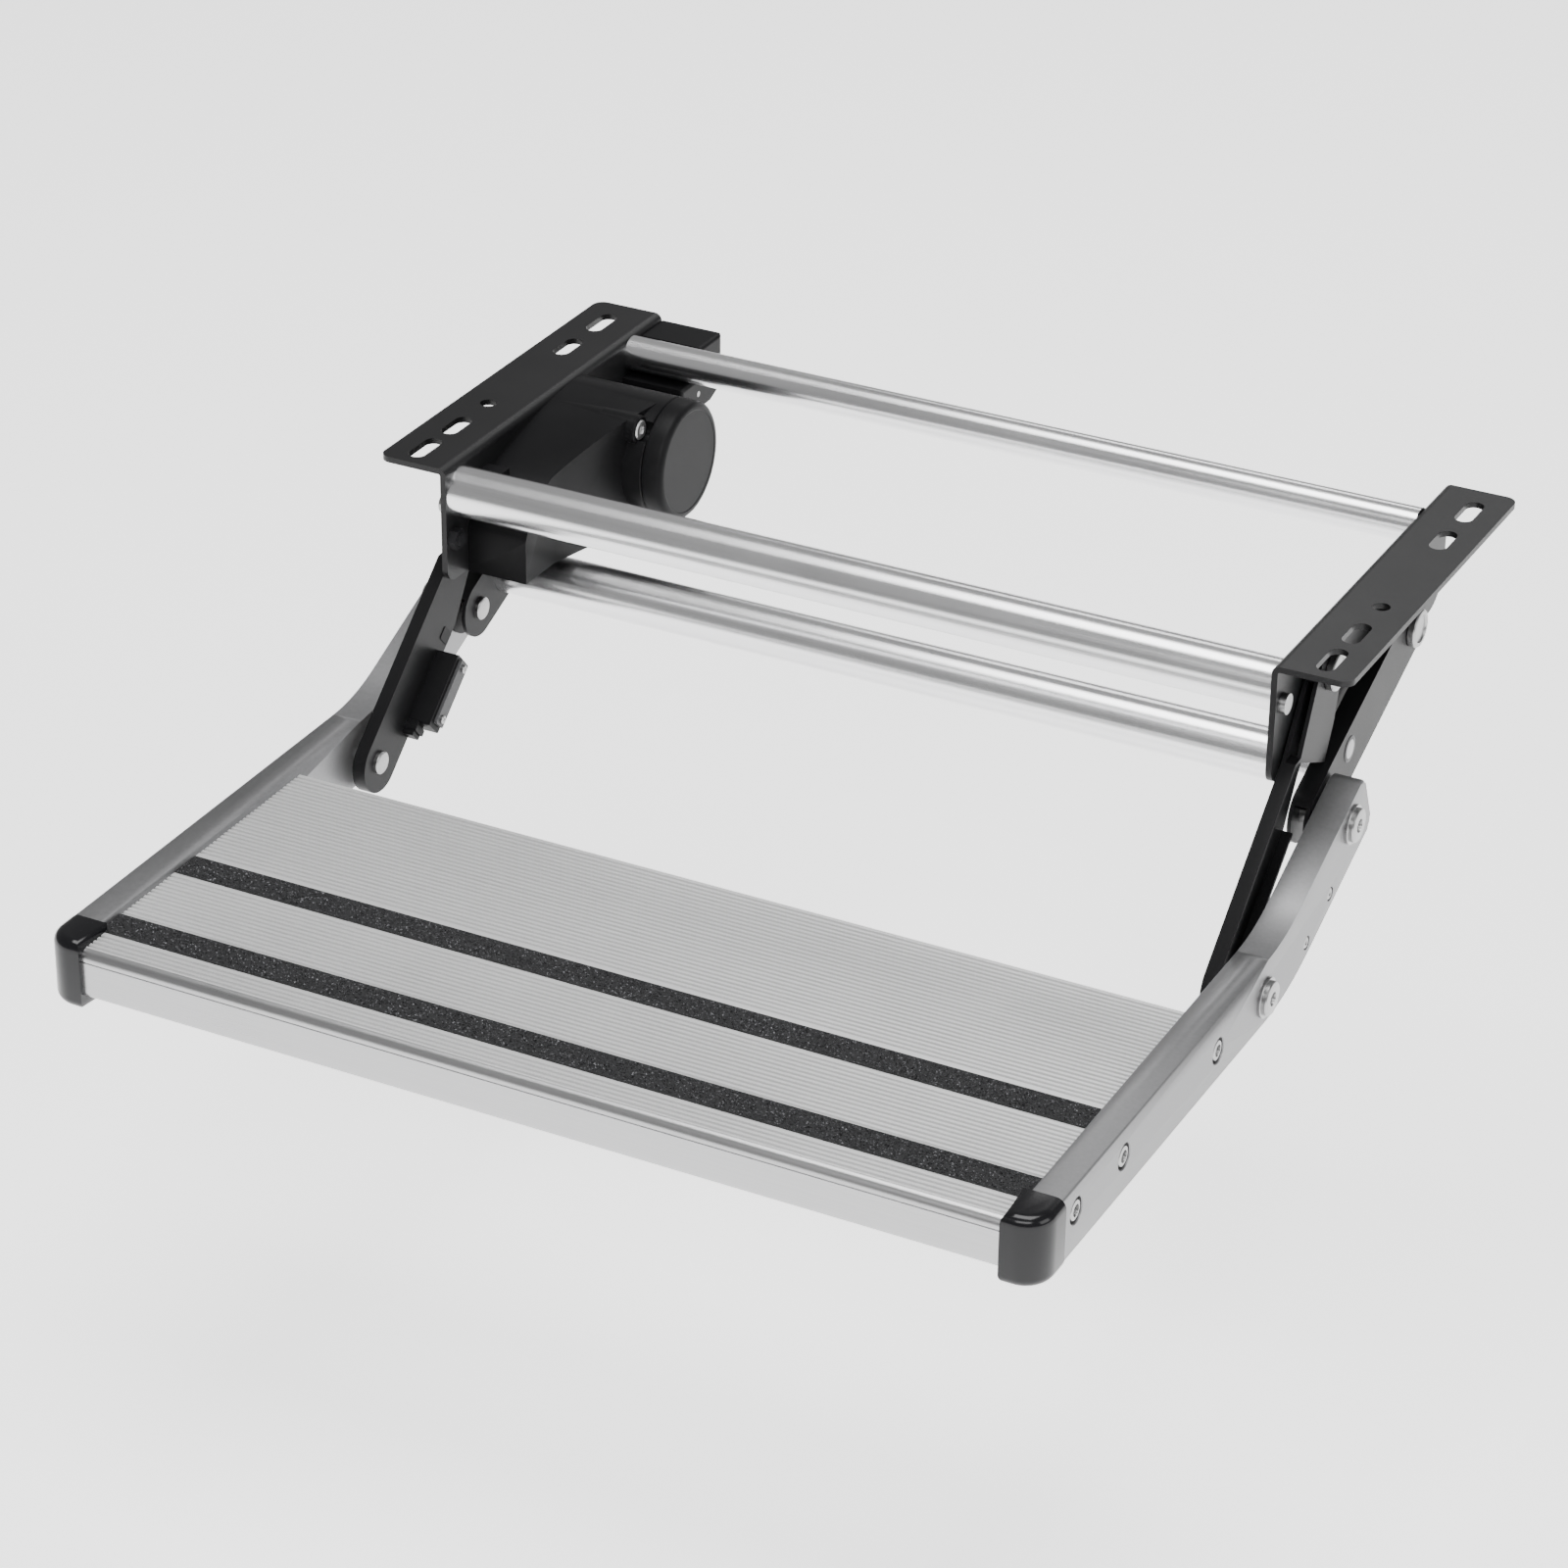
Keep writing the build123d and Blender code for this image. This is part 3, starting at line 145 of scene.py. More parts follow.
class Bench:
    """A material under construction."""

    def __init__(self, name: str) -> None:
        """Starts an empty node material.

        Args:
            name: the material's name.
        """
        self.material = bpy.data.materials.new(name)
        self.material.use_nodes = True
        self.tree = self.material.node_tree
        self.tree.nodes.clear()
        self.shader = self.tree.nodes.new("ShaderNodeBsdfPrincipled")
        out = self.tree.nodes.new("ShaderNodeOutputMaterial")
        self.tree.links.new(self.shader.outputs[0], out.inputs["Surface"])

    def put(self, node: bpy.types.Node, key: object, value: object) -> None:
        """Sets or links one input of a node.

        Args:
            node: the node.
            key: the input's name or number.
            value: a signal to link, or a constant.
        """
        if isinstance(value, Signal):
            self.tree.links.new(value.socket, node.inputs[key])
        else:
            node.inputs[key].default_value = value

    def node(
        self,
        kind: str,
        settings: Mapping[str, object] | None = None,
        inputs: Mapping[object, object] | None = None,
        out: object = 0,
    ) -> Signal:
        """Adds one node.

        Args:
            kind: the node's type.
            settings: its properties, set before its sockets.
            inputs: values or signals for its sockets.
            out: the output to return.

        Returns:
            That output as a signal.
        """
        made = self.tree.nodes.new(kind)
        for key, value in (settings or {}).items():
            setattr(made, key, value)
        for key, value in (inputs or {}).items():
            self.put(made, key, value)
        return Signal(self, made.outputs[out])

    def place(self, scale: Triple) -> Signal:
        """Object coordinates scaled along each axis.

        Args:
            scale: factors along X, Y and Z.

        Returns:
            The scaled coordinates.
        """
        where = self.node("ShaderNodeTexCoord", out="Object")
        return self.node("ShaderNodeMapping", {"vector_type": "POINT"},
                         {"Vector": where, "Scale": scale})

    def noise(self, scale: Triple, size: float, detail: float = 2.0) -> Signal:
        """Soft noise between 0 and 1.

        Args:
            scale: factors along X, Y and Z.
            size: the noise's own scale.
            detail: its number of octaves.

        Returns:
            The noise's factor.
        """
        return self.node(
            "ShaderNodeTexNoise", {"noise_dimensions": "3D"},
            {"Vector": self.place(scale), "Scale": size, "Detail": detail, "Roughness": 0.55},
        )

    def cells(self, size: float) -> Signal:
        """Distance to the nearest of many scattered points.

        Args:
            size: number of cells in a metre.

        Returns:
            The distance.
        """
        return self.node("ShaderNodeTexVoronoi", {"feature": "F1"},
                         {"Vector": self.place(EVEN), "Scale": size}, out="Distance")

    def ramp(self, factor: Signal, low: float, high: float) -> Signal:
        """A signal stretched so that low becomes 0 and high becomes 1.

        Args:
            factor: the signal.
            low: value that becomes 0.
            high: value that becomes 1.

        Returns:
            The stretched signal, kept between 0 and 1.
        """
        return self.node("ShaderNodeMapRange", {"clamp": True},
                         {"Value": factor, "From Min": low, "From Max": high})

    def blend(self, factor: Signal, first: Colour, second: Colour) -> Signal:
        """Colour between two colours.

        Args:
            factor: 0 for the first colour, 1 for the second.
            first: a colour.
            second: a colour.

        Returns:
            The mixed colour.
        """
        made = self.tree.nodes.new("ShaderNodeMix")
        made.data_type = "RGBA"
        self.put(made, "Factor", factor)
        colours = [socket for socket in made.inputs if socket.type == "RGBA"]
        for socket, colour in zip(colours, (first, second)):
            socket.default_value = (*colour, 1.0)
        result = [socket for socket in made.outputs if socket.type == "RGBA"][0]
        return Signal(self, result)

    def bump(self, height: Signal, depth: float, strength: float) -> None:
        """Raises the surface by a height signal.

        Args:
            height: the signal.
            depth: height in metres of a signal of 1.
            strength: share of the bump that is used.
        """
        made = self.node("ShaderNodeBump", None,
                         {"Height": height, "Distance": depth, "Strength": strength})
        self.put(self.shader, "Normal", made)

    def finish(self, sockets: Mapping[str, object]) -> bpy.types.Material:
        """Sets the shader's sockets.

        Args:
            sockets: values and signals by the sockets' names.

        Returns:
            The finished material.
        """
        for key, value in sockets.items():
            self.put(self.shader, key, value)
        return self.material


# ---- finishes -----------------------------------------------------------


@dataclass(frozen=True)
class Recipe:
    """Finish that can be made into a material."""

    colour: Colour

    def mix(self, bench: Bench) -> dict[str, object]:
        """Adds the nodes of the finish.

        Args:
            bench: the material being made.

        Returns:
            Values and signals for the shader's sockets.
        """
        raise NotImplementedError

    def make(self, name: str) -> bpy.types.Material:
        """Builds the material.

        Args:
            name: its name.

        Returns:
            The material.
        """
        bench = Bench(name)
        return bench.finish(self.mix(bench))

    def tone(self, gain: float, lift: float = 0.0) -> Colour:
        """The colour made lighter or darker.

        Args:
            gain: factor on each channel.
            lift: what is added to it.

        Returns:
            The new colour.
        """
        return tuple(value * gain + lift for value in self.colour)


@dataclass(frozen=True)
class PowderCoat(Recipe):
    """Satin powder coat with a fine orange-peel skin."""

    rough: float = 0.42
    skin: float = 0.00005
    shine: float = 0.26
    peel: float = 1500.0
    drift: float = 22.0

    def mix(self, bench: Bench) -> dict[str, object]:
        """Orange peel over a slow drift of shade.

        Args:
            bench: the material being made.

        Returns:
            Values and signals for the shader's sockets.
        """
        peel = bench.noise(EVEN, self.peel, 3.0)
        drift = bench.noise(EVEN, self.drift)
        bench.bump(peel, self.skin, 0.35)
        return {
            "Base Color": bench.blend(drift, self.colour, self.tone(1.25, 0.004)),
            "Roughness": drift * 0.10 + (peel * 0.08 + (self.rough - 0.09)),
            "Specular IOR Level": self.shine,
        }


@dataclass(frozen=True)
class DrawnAlloy(Recipe):
    """Aluminium with the fine lines of its die or of a brush."""

    grain: Grain
    rough: float = 0.26
    metal: float = 1.0
    depth: float = 0.00002
    lines: float = 9.0
    cloud: float = 14.0

    def mix(self, bench: Bench) -> dict[str, object]:
        """Fine lines under a faint cloud.

        Args:
            bench: the material being made.

        Returns:
            Values and signals for the shader's sockets.
        """
        lines = bench.noise(self.grain.value, self.lines, 3.0)
        cloud = bench.noise(EVEN, self.cloud)
        bench.bump(lines, self.depth, 0.5)
        mixed = bench.ramp(lines * 0.7 + cloud * 0.3, 0.3, 0.7)
        return {
            "Base Color": bench.blend(mixed, self.tone(0.86), self.colour),
            "Metallic": self.metal,
            "Roughness": lines * 0.12 + (cloud * 0.06 + (self.rough - 0.09)),
        }


@dataclass(frozen=True)
class Moulding(Recipe):
    """Injection-moulded plastic, gloss or spark-textured."""

    rough: float = 0.5
    texture: float = 0.00004
    coat: float = 0.0
    shine: float = 0.24
    spark: float = 2600.0
    drift: float = 30.0

    def mix(self, bench: Bench) -> dict[str, object]:
        """Spark texture over a slow drift of shade.

        Args:
            bench: the material being made.

        Returns:
            Values and signals for the shader's sockets.
        """
        spark = bench.noise(EVEN, self.spark)
        drift = bench.noise(EVEN, self.drift)
        bench.bump(spark, self.texture, 0.4)
        return {
            "Base Color": bench.blend(drift, self.colour, self.tone(1.2, 0.003)),
            "Roughness": drift * 0.08 + (self.rough - 0.04),
            "Specular IOR Level": self.shine,
            "Coat Weight": self.coat,
            "Coat Roughness": 0.06,
        }


@dataclass(frozen=True)
class Grit(Recipe):
    """Bonded mineral grit of the anti-slip strips."""

    colour: Colour = (0.012, 0.012, 0.013)
    glint: Colour = (0.16, 0.16, 0.17)
    cells: float = 1150.0
    clumps: float = 700.0
    height: float = 0.0005

    def mix(self, bench: Bench) -> dict[str, object]:
        """Raised grains with bright spots of painted glint.

        Args:
            bench: the material being made.

        Returns:
            Values and signals for the shader's sockets.
        """
        grains = bench.cells(self.cells)
        coarse = bench.noise(EVEN, self.clumps, 3.0)
        peaks = bench.ramp(1.0 - grains, 0.55, 0.95)
        specks = bench.ramp(coarse, 0.60, 0.74) * peaks
        bench.bump(peaks * 0.6 + coarse * 0.4, self.height, 0.9)
        return {
            # Bright specks on the grain tops are painted glints; their lower roughness gives real
            # shine.
            "Base Color": bench.blend(specks, self.colour, self.glint),
            "Roughness": 0.88 - specks * 0.42,
        }


@dataclass(frozen=True)
class Plated(Recipe):
    """Zinc-plated or bare steel, faintly mottled."""

    rough: float = 0.3
    depth: float = 0.00002
    mottle: float = 320.0
    fine: float = 2400.0

    def mix(self, bench: Bench) -> dict[str, object]:
        """Mottled shade over a fine grain.

        Args:
            bench: the material being made.

        Returns:
            Values and signals for the shader's sockets.
        """
        mottle = bench.noise(EVEN, self.mottle, 3.0)
        bench.bump(bench.noise(EVEN, self.fine), self.depth, 0.4)
        return {
            "Base Color": bench.blend(mottle, self.tone(0.82), self.colour),
            "Metallic": 1.0,
            "Roughness": mottle * 0.16 + (self.rough - 0.08),
        }


class Finish(Enum):
    """Every finish of the step."""

    BRACKET = PowderCoat((0.006, 0.006, 0.0065), 0.38)
    ARM = PowderCoat((0.006, 0.006, 0.0065), 0.36, shine=0.12)
    TUBE = DrawnAlloy((0.93, 0.93, 0.94), Grain.ACROSS, 0.23)
    TREAD = DrawnAlloy((0.80, 0.80, 0.80), Grain.ACROSS, 0.42, 0.55)
    RAIL = DrawnAlloy((0.27, 0.27, 0.275), Grain.NONE, 0.42, 0.8)
    # Darker copy of the tread's alloy for the nose's front faces: painted shade on the same metal.
    NOSE = DrawnAlloy((0.47, 0.47, 0.475), Grain.ACROSS, 0.30)
    CAP = Moulding((0.004, 0.004, 0.005), 0.20, 0.000004, 0.12, 0.28)
    STRIP = Grit()
    GRAIN = Plated((0.10, 0.10, 0.105), 0.34)
    HOUSING = Moulding((0.005, 0.005, 0.0055), 0.36, shine=0.11)
    MOTOR = PowderCoat((0.010, 0.010, 0.011), 0.34)
    BOX = Moulding((0.005, 0.005, 0.0055), 0.40, shine=0.09)
    COVER = Moulding((0.05, 0.05, 0.052), 0.42)
    LABEL = Moulding((0.62, 0.62, 0.60), 0.55)
    ZINC = Plated((0.40, 0.40, 0.40), 0.30)
    HEAD = Plated((0.72, 0.72, 0.72), 0.46)
    STEEL = Plated((0.40, 0.40, 0.41), 0.34)
    BRONZE = Plated((0.55, 0.36, 0.16), 0.38)
    BOARD = Moulding((0.012, 0.09, 0.035), 0.4)


class Paintbox:
    """Makes each finish once and hands it out."""

    def __init__(self) -> None:
        """Starts with nothing made."""
        self.made: dict[Finish, bpy.types.Material] = {}

    def get(self, finish: Finish) -> bpy.types.Material:
        """The material of a finish, made at first use.

        Args:
            finish: which finish.

        Returns:
            Its material.
        """
        if finish not in self.made:
            self.made[finish] = finish.value.make(finish.name.lower())
        return self.made[finish]

    def coat(self, piece: bpy.types.Object, finish: Finish) -> None:
        """Gives a whole piece one finish.

        Args:
            piece: the object.
            finish: its finish.
        """
        piece.data.materials.clear()
        piece.data.materials.append(self.get(finish))


# ---- mesh helpers -------------------------------------------------------


def linked(name: str, data: bpy.types.ID) -> bpy.types.Object:
    """Makes an object at the origin and links it into the scene.

    Args:
        name: the object's name.
        data: its mesh, light or camera.

    Returns:
        The object.
    """
    made = bpy.data.objects.new(name, data)
    bpy.context.scene.collection.objects.link(made)
    return made


def baked(source: bpy.types.Object, name: str) -> bpy.types.Object:
    """Turns an object with live modifiers into a plain mesh and removes it.

    Args:
        source: the object with its modifiers.
        name: name of the plain object.

    Returns:
        The plain object.
    """
    graph = bpy.context.evaluated_depsgraph_get()
    mesh = bpy.data.meshes.new_from_object(source.evaluated_get(graph), depsgraph=graph)
    made = linked(name, mesh)
    bpy.data.objects.remove(source)
    return made


def around(centre: Point, radius: float, start: float, end: float, steps: int = 16) -> Outline:
    """Points on an arc.

    Args:
        centre: its centre.
        radius: its radius.
        start: angle of the first point in degrees.
        end: angle of the last point in degrees.
        steps: number of runs between them.

    Returns:
        The points.
    """
    turns = (math.radians(start + (end - start) * step / steps) for step in range(steps + 1))
    return [(centre[0] + radius * math.cos(turn), centre[1] + radius * math.sin(turn))
            for turn in turns]


def bowed(first: Point, middle: Point, last: Point, steps: int = 14) -> Outline:
    """Points on the arc through three points.

    Args:
        first: where it starts.
        middle: a point that it passes.
        last: where it ends.
        steps: number of runs.

    Returns:
        The points, with both ends.
    """
    (ax, ay), (bx, by), (cx, cy) = first, middle, last
    twice = 2 * (ax * (by - cy) + bx * (cy - ay) + cx * (ay - by))
    squares = [x * x + y * y for x, y in (first, middle, last)]
    ox = (squares[0] * (by - cy) + squares[1] * (cy - ay) + squares[2] * (ay - by)) / twice
    oy = (squares[0] * (cx - bx) + squares[1] * (ax - cx) + squares[2] * (bx - ax)) / twice
    turns = [math.degrees(math.atan2(y - oy, x - ox)) for x, y in (first, middle, last)]
    sweep = (turns[2] - turns[0] + 180) % 360 - 180
    return around((ox, oy), math.hypot(ax - ox, ay - oy), turns[0], turns[0] + sweep, steps)


def softened(outline: Outline, radius: float, steps: int = 5, most: float = 0.45) -> Outline:
    """An outline with its corners rounded.

    Args:
        outline: a closed polygon.
        radius: distance from each corner at which the rounding starts.
        steps: runs in each rounding.
        most: largest share of a side that one rounding takes.

    Returns:
        The rounded polygon.
    """
    made: Outline = []
    count = len(outline)
    for index, corner in enumerate(outline):
        ends = []
        for other in (outline[index - 1], outline[(index + 1) % count]):
            gap = math.dist(corner, other)
            share = min(radius / gap, most)
            ends.append(tuple(c + (o - c) * share for c, o in zip(corner, other)))
        for step in range(steps + 1):
            t = step / steps
            made.append(tuple((1 - t) ** 2 * a + 2 * t * (1 - t) * c + t * t * b
                              for a, c, b in zip(ends[0], corner, ends[1])))
    return made


class Solid:
    """Closed shape in millimetres that becomes one mesh."""

    def __init__(self) -> None:
        """Starts empty."""
        self.mesh = bmesh.new()

    def loft(self, rings: Sequence[Sequence[Triple]], slot: int = 0) -> "Solid":
        """Closes a row of rings of points into a solid.

        Args:
            rings: rings of as many points each, in order.
            slot: material slot of the faces.

        Returns:
            This shape.
        """
        rows = [[self.mesh.verts.new(Vector(point) * MM) for point in ring] for ring in rings]
        faces = [self.mesh.faces.new(rows[0]), self.mesh.faces.new(rows[-1])]
        count = len(rows[0])
        for low, high in zip(rows, rows[1:]):
            for i in range(count):
                j = (i + 1) % count
                faces.append(self.mesh.faces.new((low[i], low[j], high[j], high[i])))
        for face in faces:
            face.material_index = slot
        return self

    def prism(self, outline: Sequence[Point], start: float, end: float, slot: int = 0) -> "Solid":
        """Side-view outline extruded across the step.

        Args:
            outline: points as Y and Z.
            start: X of one end.
            end: X of the other end.
            slot: material slot.

        Returns:
            This shape.
        """
        return self.loft([[(x, y, z) for y, z in outline] for x in (start, end)], slot)

    def post(self, outline: Sequence[Point], start: float, end: float) -> "Solid":
        """Plan outline extruded upwards.

        Args:
            outline: points as X and Y.
            start: Z of the lower end.
            end: Z of the upper end.

        Returns:
            This shape.
        """
        return self.loft([[(x, y, z) for x, y in outline] for z in (start, end)])

    def turned(self, at: Point, profile: Sequence[Point], sides: int = 48, slot: int = 0,
               side: int = 1, start: float = 0.0) -> "Solid":
        """Profile turned about a line across the step.

        Args:
            at: Y and Z of the line.
            profile: X and radius of each ring, from one flat end to the other.
            sides: points in a ring.
            slot: material slot.
            side: sign of X on which the profile lies.
            start: distance in X from which the profile counts.

        Returns:
            This shape.
        """
        last = 360 - 360 / sides
        return self.loft([[(side * (start + x), *spot)
                           for spot in around(at, radius, 0, last, sides - 1)]
                          for x, radius in profile], slot)

    def ease(self, chosen: Callable[[Vector, Vector], bool], width: float,
             segments: int) -> "Solid":
        """Rounds the edges that a test picks.

        Args:
            chosen: takes an edge's two ends in millimetres.
            width: width of the rounding.
            segments: its runs.

        Returns:
            This shape.
        """
        edges = [edge for edge in self.mesh.edges
                 if chosen(edge.verts[0].co / MM, edge.verts[1].co / MM)]
        bmesh.ops.bevel(self.mesh, geom=edges, offset=width * MM, segments=segments,
                        profile=0.5, affect="EDGES", clamp_overlap=True)
        return self

    def made(self, name: str) -> bpy.types.Object:
        """Turns the shape into an object.

        Args:
            name: the object's name.

        Returns:
            The object.
        """
        bmesh.ops.remove_doubles(self.mesh, verts=self.mesh.verts, dist=WELD)
        bmesh.ops.recalc_face_normals(self.mesh, faces=self.mesh.faces)
        mesh = bpy.data.meshes.new(name)
        self.mesh.to_mesh(mesh)
        self.mesh.free()
        return linked(name, mesh)


def combined(base: bpy.types.Object, shapes: Sequence[Solid], how: str) -> bpy.types.Object:
    """Adds shapes to an object or cuts them out of it, one after the other.

    Args:
        base: the object, which is used up.
        shapes: what is added or cut out.
        how: UNION or DIFFERENCE.

    Returns:
        The result, under the object's name.
    """
    name = base.name
    for shape in shapes:
        other = shape.made("fitted")
        modifier = base.modifiers.new("fit", "BOOLEAN")
        modifier.operation, modifier.object, modifier.solver = how, other, "EXACT"
        base.name = name + "_base"
        base = baked(base, name)
        bpy.data.objects.remove(other)
    return base


@dataclass(frozen=True)
class Fitter:
    """Puts finished pieces on the step; faces square to X are shaded flat."""

    paint: Paintbox
    square: float = 0.9999

    def fix(self, piece: bpy.types.Object, body: str, slot: str, finishes: Sequence[Finish],
            nodes: Sequence[str] = (), angle: float = 32.0) -> bpy.types.Object:
        """Smooths, coats and fixes a piece.

        Args:
            piece: the piece.
            body: the body that it moves with.
            slot: name of a material slot; not used.
            finishes: finish of each of its material slots.
            nodes: CAD nodes that it stands for.
            angle: edges sharper than this stay sharp, in degrees.

        Returns:
            The piece.
        """
        mesh = piece.data
        if len(mesh.materials):
            mesh.materials.clear()
        for finish in finishes:
            mesh.materials.append(self.paint.get(finish))
        for face in mesh.polygons:
            face.use_smooth = abs(face.normal.x) < self.square
        mesh.set_sharp_from_angle(angle=math.radians(angle))
        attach(piece, body)
        if nodes:
            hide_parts(*nodes)
        LOG.info("%s: %d faces", piece.name, len(mesh.polygons))
        return piece


class GrainTree:
    """Geometry Nodes tree that scatters small grains over a surface."""

    SEED = 7
    SMALLEST = 0.6
    LARGEST = 1.35

    def __init__(self, material: bpy.types.Material) -> None:
        """Builds the tree.

        Args:
            material: finish of the grains.
        """
        self.tree = bpy.data.node_groups.new("grains_on_surface", "GeometryNodeTree")
        face = self.tree.interface
        face.new_socket("Geometry", in_out="INPUT", socket_type="NodeSocketGeometry")
        for label in ("Grains per Square Metre", "Grain Size"):
            face.new_socket(label, in_out="INPUT", socket_type="NodeSocketFloat")
        face.new_socket("Geometry", in_out="OUTPUT", socket_type="NodeSocketGeometry")
        self._wire(material)

    def _node(self, kind: str, **values: object) -> bpy.types.Node:
        """Adds a node.

        Args:
            kind: its type.
            **values: input names with underscores for spaces, as links or constants.

        Returns:
            The node.
        """
        made = self.tree.nodes.new(kind)
        for key, value in values.items():
            socket = made.inputs[key.replace("_", " ")]
            if isinstance(value, bpy.types.NodeSocket):
                self.tree.links.new(value, socket)
            else:
                socket.default_value = value
        return made

    def _random(self, low: float, high: float, seed: int) -> bpy.types.NodeSocket:
        """Random vector for each grain.

        Args:
            low: lowest value on each axis.
            high: highest value on each axis.
            seed: seed of the draw.

        Returns:
            The vector's socket.
        """
        made = self.tree.nodes.new("FunctionNodeRandomValue")
        made.data_type = "FLOAT_VECTOR"
        vectors = [socket for socket in made.inputs if socket.type == "VECTOR"]
        vectors[0].default_value, vectors[1].default_value = (low,) * 3, (high,) * 3
        made.inputs["Seed"].default_value = seed
        return [socket for socket in made.outputs if socket.type == "VECTOR"][0]

    def _wire(self, material: bpy.types.Material) -> None:
        """Connects the tree.

        Args:
            material: finish of the grains.
        """
        given = self.tree.nodes.new("NodeGroupInput").outputs
        spots = self._node(
            "GeometryNodeDistributePointsOnFaces", Mesh=given["Geometry"],
            Density=given["Grains per Square Metre"], Seed=self.SEED,
        )
        grain = self._node(
            "GeometryNodeMeshCone", Vertices=4, Radius_Top=0.0,
            Radius_Bottom=given["Grain Size"], Depth=given["Grain Size"],
        )
        placed = self._node(
            "GeometryNodeInstanceOnPoints",
            Points=spots.outputs["Points"], Instance=grain.outputs["Mesh"],
            Rotation=self._random(0.0, math.tau, self.SEED + 1),
            Scale=self._random(self.SMALLEST, self.LARGEST, self.SEED + 2),
        )
        real = self._node("GeometryNodeRealizeInstances", Geometry=placed.outputs[0])
        coated = self._node("GeometryNodeSetMaterial", Geometry=real.outputs[0])
        coated.inputs["Material"].default_value = material
        out = self.tree.nodes.new("NodeGroupOutput")
        self.tree.links.new(coated.outputs[0], out.inputs[0])

    def build(self, name: str, surface: bpy.types.Object, per_mm2: float,
              size: float) -> bpy.types.Object:
        """Scatters grains over a surface, which is used up.

        Args:
            name: name of the piece.
            surface: the surface.
            per_mm2: grains on a square millimetre.
            size: radius of a grain in millimetres.

        Returns:
            One plain mesh with all the grains.
        """
        modifier = surface.modifiers.new("grains", "NODES")
        modifier.node_group = self.tree
        values = {"Grains per Square Metre": per_mm2 / MM ** 2, "Grain Size": size * MM}
        for item in self.tree.interface.items_tree:
            if item.in_out == "INPUT" and item.name in values:
                modifier[item.identifier] = values[item.name]
        return baked(surface, name)


# ---- the step -----------------------------------------------------------


@dataclass
class Dressing:
    """Finish of every node of the frame."""

    paint: Paintbox
    finishes: dict[Finish, tuple[str, ...]] = field(default_factory=lambda: {
        Finish.BRACKET: ("bracket_left", "bracket_right"),
        Finish.ARM: ("front_arm_left", "front_arm_right", "rear_arm_left", "rear_arm_right"),
        Finish.TUBE: ("front_tube", "rear_tube", "crossbar"),
        Finish.TREAD: ("tread",),
        Finish.RAIL: ("rail_left", "rail_right"),
        Finish.CAP: ("end_cap_left", "end_cap_right"),
        Finish.STRIP: ("grip_strips",),
        Finish.HOUSING: ("gearbox_housing",),
        Finish.BOX: ("motor_cap", "control_base", "control_lid", "switch_body"),
        Finish.COVER: ("switch_cover",),
        Finish.LABEL: ("switch_label",),
        Finish.MOTOR: ("motor_can", "plate_screw", "plate_nut"),
        Finish.ZINC: ("tube_bolts", "pivot_studs", "housing_screws",
                      "front_rail_pins", "rear_rail_rivets", "rail_studs", "rail_screws",
                      "insert_screws", "shaft_bolt", "switch_fixings", "control_screw"),
        Finish.STEEL: ("output_shaft", "output_wheel", "drive_keys", "pinion", "pinion_shaft",
                       "pivot_washers", "insert_left", "insert_right", "tube_plugs", "motor_core"),
        Finish.BRONZE: ("shaft_bushes", "pinion_bush", "front_arm_bushes", "rear_arm_bush"),
        Finish.BOARD: ("control_board",),
    })

    def build(self, nodes: Mapping[str, bpy.types.Object]) -> None:
        """Coats every node.

        Args:
            nodes: the frame's nodes by name.
        """
        left = set(nodes)
        for finish, names in self.finishes.items():
            for name in names:
                self.paint.coat(nodes[name], finish)
                left.discard(name)
            LOG.info("%s on %s", finish.name.lower(), ", ".join(names))
        if left:
            raise ValueError(f"nodes with no finish: {sorted(left)}")


